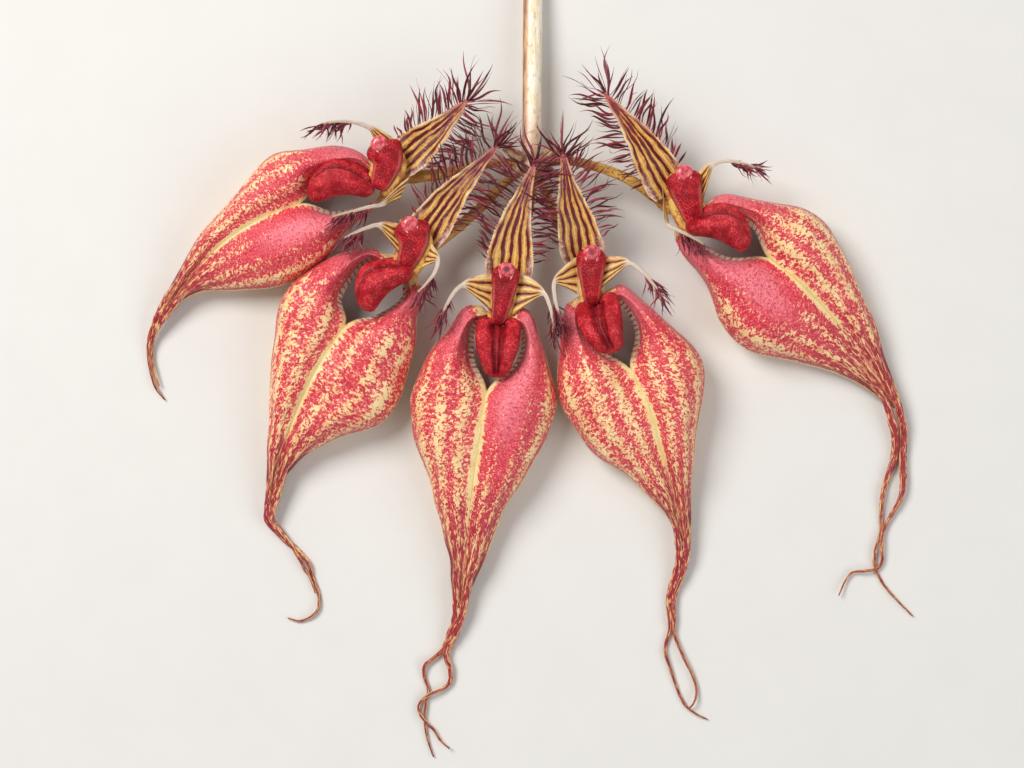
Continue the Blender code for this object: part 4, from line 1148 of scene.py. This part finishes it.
def dorsal_fringe(flower, rng):
    """Paleae along both margins and a longer brush at the tip."""
    middle, sideways, _ = dorsal_frame(flower, FRINGE_SAMPLES)
    edge = dorsal_surface(flower, FRINGE_SAMPLES, np.array([-1, 1]))
    forward = unit(middle[-1] - middle[-20])
    hairs = []
    for k, sign in enumerate((-1, 1)):
        for i in range(FRINGE_SIDE):
            share = 0.18 + 0.79 * ((i + rng.uniform(0, 0.9)) / FRINGE_SIDE) ** 0.75
            at = round((FRINGE_SAMPLES - 1) * share)
            out = sideways[at] * sign
            sweep = 0.55 + 0.4 * math.sin(5 * share + k * 2 + flower["dorsal"][0][0])
            lean = out + forward * (sweep + rng.uniform(-0.22, 0.22)) + (0, 0, rng.uniform(-0.2, 1.1))
            length = rng.uniform(*FRINGE_LENGTH) * (0.40 + 0.60 * ease(0.15, 0.6, share))
            hairs.append(palea(edge[at, k] - out * 0.1 - (0, 0, 0.12), lean, length, rng))
    for i in range(FRINGE_TIP):
        spread = 2 * (i + rng.random()) / FRINGE_TIP - 1
        lean = forward + sideways[-1] * spread * 1.2 + (0, 0, rng.uniform(-0.2, 0.9))
        root = middle[-1] - forward * rng.uniform(0.2, 1.0 + 2.0 * abs(spread)) - (0, 0, 0.15)
        hairs.append(palea(root, lean, rng.uniform(*TIP_LENGTH), rng))
    return hairs


def petal_edges(petal):
    """Middle line of a petal and its filament, and the half widths towards its upper and lower edge."""
    high, low, *arc = np.array(petal["root"] + petal["arc"], float)
    root = (high + low) / 2
    root = root + unit(root - arc[0]) * PETAL_TUCK
    middle = line(raised([root, (root + arc[0]) / 2, *arc], PETAL_HEIGHT), PETAL_ROWS)
    at = steps(PETAL_HEIGHT, PETAL_ROWS)
    along = unit(np.gradient(middle[:, :2], axis=0))
    thin = np.column_stack([-along[:, 1], along[:, 0]])
    wide = (high - low) * 0.56
    if thin[0] @ wide < 0:
        thin = -thin
    taper = np.clip(1 - at / PETAL_END, 0, 1) ** 1.15
    bulge = 0.20 * np.sin(math.pi * np.clip(at / PETAL_END, 0, 1))
    rod = FILAMENT[0] + (FILAMENT[1] - FILAMENT[0]) * np.clip((at - 2) / 3, 0, 1)
    upper = wide * (taper + bulge)[:, None] + thin * (rod * (1 - taper))[:, None]
    lower = wide * (taper - bulge * 0.3)[:, None] + thin * (rod * (1 - taper))[:, None]
    return middle, upper, lower, at


def petal_piece(key, side, flower, paint, hair):
    """Pointed petal, rolled along its upper edge and drawn out into a bowed filament with a brush."""
    petal = flower["petals"][side]
    rng = random.Random(SEED + ord(key) * 3 + (side == "left"))
    seed = rng.uniform(0, 60)
    middle, upper, lower, at = petal_edges(petal)
    middle[:, 2] -= PETAL_SINK
    at = at[:, None]
    turn = circle(PETAL_SIDES)
    v = np.cos(turn)
    blade = np.clip(1 - at / PETAL_END, 0, 1)
    half = np.where(v[:, None] > 0, upper[:, None], lower[:, None]) * v[:, None]
    thick = PETAL_THICK + 0.20 * (1 - blade) - 0.14 * ease(4, 5, at) + 0.16 * blade * ease(0.6, 1.0, v)
    height = np.sin(turn) * thick + blade * (PETAL_ROLL * v**2 - 0.30)
    rings = middle[:, None] + np.dstack([half, height])
    cream = np.maximum(0.8 * ease(0.74, 0.97, v), 0.6 * ease(2.8, 4.4, at))
    flow = triples(v * 0.5, lengths_along(middle)[:, None], seed)
    parts = [loft(rings, flow, triples(-ease(1.4, 2.2, at), cream, 0))]
    parts += petal_tuft(petal, middle, rng)
    new_piece(f"{key}_petal_{side}", parts, [paint, hair])


def petal_tuft(petal, middle, rng):
    """Brush of paleae along the end of the filament."""
    aim = unit([*petal["tuft"], 0.0])
    hairs = []
    for i in range(TUFT):
        row = int((PETAL_ROWS - 2) * (1 - TUFT_SHARE * (i + rng.uniform(0, 0.8)) / TUFT))
        forward = unit(middle[row + 1] - middle[row])
        lean = aim + forward * rng.uniform(-0.2, 0.9)
        lean = lean + (rng.uniform(-0.6, 0.6), rng.uniform(-0.6, 0.6), rng.uniform(-0.8, 0.4))
        hairs.append(palea(middle[row], lean, rng.uniform(*TUFT_LENGTH), rng, PALEA_WIDE * TUFT_WIDE))
    return hairs


def lip_frame(key, flower):
    """Base of a lip, its length, how far it is turned, and its directions forward, left and up."""
    base, tip = (np.array([*p, LIP_BASE]) for p in flower["lip"])
    base -= unit(tip - base) * LIP_BACK[key]
    length = np.linalg.norm(tip - base)
    forward = (tip - base) / length
    level = np.array([forward[1], -forward[0], 0.0])
    roll = math.radians(flower["lip_roll"] * LIP_TURN)
    turned = abs(math.sin(roll))
    left = level * math.cos(roll) + (0, 0, math.sin(roll))
    up = (0, 0, math.cos(roll)) - level * math.sin(roll)
    return base + (0, 0, LIP_LIFT * turned), length, turned, (forward, left, up)


def lip_grid():
    """Share along a lip, place across it from -1 to 1, and which points lie on its upper face."""
    quarter = math.pi / 2
    over = np.linspace(quarter, -quarter, LIP_OVER)
    under = np.linspace(-quarter, quarter, LIP_UNDER + 2)[1:-1]
    x = np.sin(np.concatenate([over, under]))
    t = (1 - (1 - np.linspace(0, 1, LIP_ROWS)) ** 1.25)[:, None]
    return t, x, np.arange(len(x)) < LIP_OVER


def lip_outline(t, x, top, turned):
    """Half widths and thicknesses of a lip, rounded off at its root and its tip."""
    spread, depth = (spline(v, t[:, 0] * (len(v) - 1)) for v in (LIP_SPREAD, LIP_DEPTH))
    tip_close = np.sqrt(np.maximum(0, 1 - np.maximum(0, (t - 0.88) / 0.12) ** 2)) * 0.98 + 0.02
    root_close = np.sqrt(1 - np.maximum(0, 1 - t / 0.10) ** 2) * 0.4 + 0.6
    across = x * spread * LIP_WIDTH / 2 * (1 + LIP_GIRTH * turned) * tip_close * root_close
    thick = depth * tip_close * root_close * np.sqrt(np.maximum(0, 1 - x * x))
    return across, thick * np.where(top, 1, -LIP_BELLY * (1 + turned))


def lip_piece(key, flower, paint):
    """Fleshy tongue with two shoulders, a channel with a ridge in it, and a tip that curls down."""
    base, length, turned, directions = lip_frame(key, flower)
    t, x, top = lip_grid()
    across, thick = lip_outline(t, x, top, turned)
    groove = LIP_GROOVE * (1 - 0.66 * t)
    channel = LIP_CHANNEL * np.exp(-((across / groove) ** 4)) - LIP_RIDGE * bell(across, 0, 0.40 * groove)
    dip = channel * (1 - ease(0.84, 0.99, t)) * top
    swell = LIP_SWELL * bell(abs(x), 0.62, 0.26) * (1 - 0.7 * t) * top
    shoulder = LIP_SHOULDER * x * x * np.maximum(0, 1 - t / 0.35)
    arch = spline(LIP_ARCH, t[:, 0] * (len(LIP_ARCH) - 1))
    offsets = (t * length - shoulder, across, arch + thick - dip + swell)
    rings = base + sum(offset[..., None] * way for offset, way in zip(offsets, directions))
    # Painted shade for the lip: deepest in the channel, light under the lip, and along its upper side
    # edges
    hollow = np.where(top, np.clip(dip * 0.55, 0, 1), 0.15)
    rim = 0.4 * (1 - turned) * bell(abs(x), 0.97, 0.05) * top
    part = plain_loft(rings, triples(np.maximum(hollow, rim), 0, 0))
    new_piece(key + "_lip", [part], [paint])


def sideways_turn(flower):
    """How far a flower's column is turned on its side, from 0 to 1."""
    return abs(math.sin(math.radians(flower["lip_roll"])))


def column_plan(flower):
    """Column's middle line seen from above, straightened a little and drawn out at both ends."""
    top, middle, foot = np.asarray(flower["column"], float)
    middle = middle + (top / 2 + foot / 2 - middle) * 0.45
    top = top - unit(middle - top) * COLUMN_TOP
    foot = foot + unit(foot - middle) * COLUMN_FOOT
    return np.array([top, middle, foot])


def column_piece(key, flower, paint):
    """Short stout column with a shallow cavity below its cap and thin wings along its sides."""
    turned = sideways_turn(flower)
    plan = column_plan(flower)
    middle = line(raised(plan, COLUMN_HEIGHT), COLUMN_ROWS)
    along = unit(np.gradient(middle, axis=0) * (1, 1, 0))
    sideways = np.column_stack([along[:, 1], -along[:, 0]])
    t = np.linspace(0, 1, COLUMN_ROWS)[:, None]
    close = np.sqrt(np.clip(1 - ((t - 0.5) / 0.5) ** 8, 0, 1)) * 0.98 + 0.02
    wide, deep = (line(v, COLUMN_ROWS) / 2 for v in (COLUMN_WIDTH, COLUMN_DEPTH))
    wide = wide * (1 + COLUMN_SIDE * turned)
    turn = circle(COLUMN_SIDES)
    x, y = np.cos(turn), np.sin(turn)
    hollow = bell(x, 0, 0.42) * bell(t, 0.34, 0.10) * (1 - min(1, 1.5 * turned)) * (y > 0)
    y = y - 0.30 * hollow
    wing = bell(abs(x), 0.86, 0.10) * (y > 0) * ease(0.2, 0.5, t)
    y = y + 0.08 * wing
    plane = (wide * close * x)[..., None] * sideways[:, None]
    rings = middle[:, None] + np.dstack([plane, deep * close * y])
    # The first tone is painted shade in the cavity below the cap
    tone = triples(0.6 * hollow, 0.35 * wing, ease(-0.15, -0.5, y))
    parts = [plain_loft(rings, tone)]
    parts += [column_wing(flower, plan, wide[COLUMN_ROWS // 2, 0], sign) for sign in (-1, 1)]
    new_piece(key + "_column", parts, [paint])


def column_wing(flower, plan, half, sign):
    """Ochre ridge along one side of the column and its foot. On a turned flower the far one is broad."""
    down = unit(plan[2] - plan[0])
    reach = "far" if sideways_turn(flower) > 0.3 and sign * flower["lip_roll"] < 0 else "near"
    out = np.array([-down[1], down[0]]) * sign * half * WING_OUT[reach]
    points = [plan[0] + out * 0.7, plan[1] + out, plan[2] + out * 0.75, plan[2] + out * 0.25 + down * 0.9]
    path = line(raised(points, WING_HEIGHT), WING_ROWS)
    radii = WING_RADIUS[reach] * np.sqrt(np.sin(np.linspace(0.12, math.pi - 0.25, WING_ROWS)))
    return tube(path, radii, WING_SIDES, (0.0, 0.0, 1.0), flat=0.8)


def anther_cap(key, flower, paint):
    """Waxy dome with a dark mouth, and two small pale teeth below it."""
    turned = sideways_turn(flower)
    centre = (np.asarray(flower["anther"]) + flower["column"][0]) / 2
    foot = COLUMN_HEIGHT[0] + COLUMN_DEPTH[1] / 2 - CAP_SINK
    down = unit(flower["column"][1] - centre)
    right = np.array([down[1], -down[0]])
    angle = np.radians(np.linspace(-24, 86, CAP_ROWS))[:, None]
    turn = circle(CAP_SIDES)
    radius = CAP_RADIUS * np.cos(angle) * (1 + 0.06 * np.cos(2 * turn))
    a, b = radius * np.cos(turn), radius * np.sin(turn)
    mouth = bell(a * a + (b + 0.1) ** 2, 0, 0.95) * (1 - turned) * ease(0.5, 0.9, angle)
    dome = (CAP_RISE - 0.5 * turned) * np.maximum(np.sin(angle), 0) ** 0.8
    height = foot + np.where(angle > 0, dome, 2 * np.sin(angle)) - CAP_DIMPLE * mouth
    rings = np.dstack([centre + a[..., None] * right + b[..., None] * down, height])
    parts = [plain_loft(rings, triples(mouth, 0, 0))]
    share = np.linspace(0, 1, TOOTH_ROWS)[:, None]
    for sign in (-1, 1):
        start = np.array([*(centre + right * sign * 1.45 + down * 1.0), foot + 0.5])
        path = start + np.array([*(down * 1.3 - right * sign * 0.25), -0.25]) * share
        radii = TOOTH_RADIUS * np.sqrt(1 - (0.97 * share[:, 0]) ** 2)
        parts.append(tube(path, radii, TOOTH_SIDES, (0.0, 0.55, 0.0)))
    new_piece(key + "_anther_cap", parts, [paint])


def stalk_piece(key, flower, paint):
    """Flower stalk from the hub, swelling into the ovary behind the flower."""
    start = HUB + unit(np.subtract(flower["stalk"][0], HUB)) * (HUB_RADIUS - 0.6)
    route = [start, *flower["stalk"], flower["column"][1]]
    path = line(raised(route, [*flower["stalk_height"], STALK_JOIN]), STALK_ROWS)
    radii = line(STALK_RADIUS, STALK_ROWS)[:, 0]
    part = tube(path, radii, STALK_SIDES, (0, 0, 0), lumps=STALK_LUMPS)
    new_piece(key + "_stalk", [part], [paint])


def bract_piece(key, flower, paint):
    """Small pointed papery scale at the foot of a flower stalk."""
    out = np.subtract(flower["bract"], HUB)
    length = np.linalg.norm(out)
    out /= length
    sideways = np.array([out[1], -out[0]])
    t = np.linspace(0, 1, BRACT_ROWS)[:, None]
    u = np.linspace(-1, 1, BRACT_COLUMNS)
    middle = HUB + out * (HUB_RADIUS - 0.2 + t * (length - HUB_RADIUS + 0.5))
    half = BRACT_HALF * np.sin(math.pi * (0.28 + 0.68 * t)) + 0.1
    curl = 0.5 * u * u - 0.18 * np.sin(5 * t + 3 * u)
    height = HUB_HEIGHT + BRACT_RISE + 1.6 * t - curl
    points = np.dstack([middle[:, None] + (half * u)[..., None] * sideways, height]).reshape(-1, 3)
    quads = grid_quads(BRACT_ROWS, BRACT_COLUMNS)[:, ::-1]
    flow = triples(u, t * length, ord(key) * 3.0)
    part = slab(points, quads, BRACT_THICK, flow, np.zeros_like(flow))
    new_piece(key + "_bract", [part], [paint])


def stem_piece(paint):
    """Bare stem, cut across at its far end and swelling into the hub at the other."""
    end = np.array([*STEM_END, STEM_RADIUS])
    hub = np.array([*HUB, HUB_HEIGHT])
    share = np.linspace(0, 1, STEM_ROWS)
    nose = np.linspace(0.06, 1, NOSE_ROWS) * NOSE_LENGTH
    path = np.vstack([end + (hub - end) * share[:, None], hub + unit(hub - end) * nose[:, None]])
    body = STEM_RADIUS * (1 - 0.02 * np.sin(share * 9))
    body = body + (HUB_RADIUS - STEM_RADIUS) * ease(0.93, 1.0, share)
    cap = HUB_RADIUS * np.sqrt(1 - np.linspace(0.06, 0.985, NOSE_ROWS) ** 2)
    near = np.concatenate([ease(0.72, 1.0, share), np.ones(NOSE_ROWS)])
    tone = triples(0, near, np.arange(len(path)) == 0)
    part = tube(path, np.concatenate([body, cap]), STEM_SIDES, tone, lumps=STEM_LUMPS)
    points = part["points"]
    x = points[:, 0] - np.interp(points[:, 1], [hub[1], end[1]], [hub[0], end[0]])
    part["tone"][:, 0] = ease(-0.2 * STEM_RADIUS, -1.0 * STEM_RADIUS, x)
    points[:, 2] = np.maximum(points[:, 2], 0.0)
    new_piece("stem", [part], [paint])


def make_flowers():
    """All pieces of the five flowers."""
    mottled = lateral_paint()
    dorsal = striped_paint("striped_dorsal", DORSAL_STRIPES)
    petal = striped_paint("striped_petal", PETAL_STRIPES)
    hair = hair_paint()
    rest = [
        (lip_piece, fleshy_paint("lip", *LIP_REDS)),
        (column_piece, fleshy_paint("column", *COLUMN_REDS)),
        (anther_cap, anther_paint()),
        (stalk_piece, stalk_paint()),
        (bract_piece, bract_paint()),
    ]
    for key, flower in FLOWERS.items():
        lateral_sepals(key, flower, mottled)
        dorsal_sepal(key, flower, dorsal, hair)
        for side in flower["petals"]:
            petal_piece(key, side, flower, petal, hair)
        for make, paint in rest:
            make(key, flower, paint)


def area_light(name, place, size, power, tint):
    """Round soft light, aimed at the middle of the table."""
    data = bpy.data.lights.new(name, "AREA")
    data.shape = "DISK"
    data.size = size
    data.energy = power
    data.color = tint
    lamp = bpy.data.objects.new(name, data)
    lamp.location = place
    lamp.rotation_euler = (-Vector(place)).to_track_quat("-Z", "Y").to_euler()
    bpy.context.scene.collection.objects.link(lamp)


def make_floor():
    """Pale table top."""
    bpy.ops.mesh.primitive_plane_add(size=FLOOR_SIZE, location=(0, 0, 0))
    floor = bpy.context.object
    floor.name = "floor"
    p = Paint("floor", roughness=0.8)
    grain = p.noise(p.place(), 60.0, 4.0, 0.6)
    floor.data.materials.append(p.done(p.mix(grain, FLOOR_DARK, FLOOR_LIGHT)))


def make_studio():
    """Floor, soft lights and the camera that looks straight down."""
    make_floor()
    for name, light in LIGHTS.items():
        area_light(name, *light)
    scene = bpy.context.scene
    world = bpy.data.worlds.new("studio")
    world.use_nodes = True
    background = world.node_tree.nodes["Background"]
    background.inputs["Color"].default_value = (1, 1, 1, 1)
    background.inputs["Strength"].default_value = WORLD_STRENGTH
    scene.world = world
    data = bpy.data.cameras.new("camera")
    data.lens = CAMERA_LENS
    data.sensor_width = SENSOR_WIDTH
    data.clip_end = VIEW_DEPTH * MM
    camera = bpy.data.objects.new("camera", data)
    camera.location = [v * MM for v in CAMERA_AT]
    scene.collection.objects.link(camera)
    scene.camera = camera
    scene.view_settings.view_transform = "Standard"


stem_piece(stem_paint())
make_flowers()
make_studio()
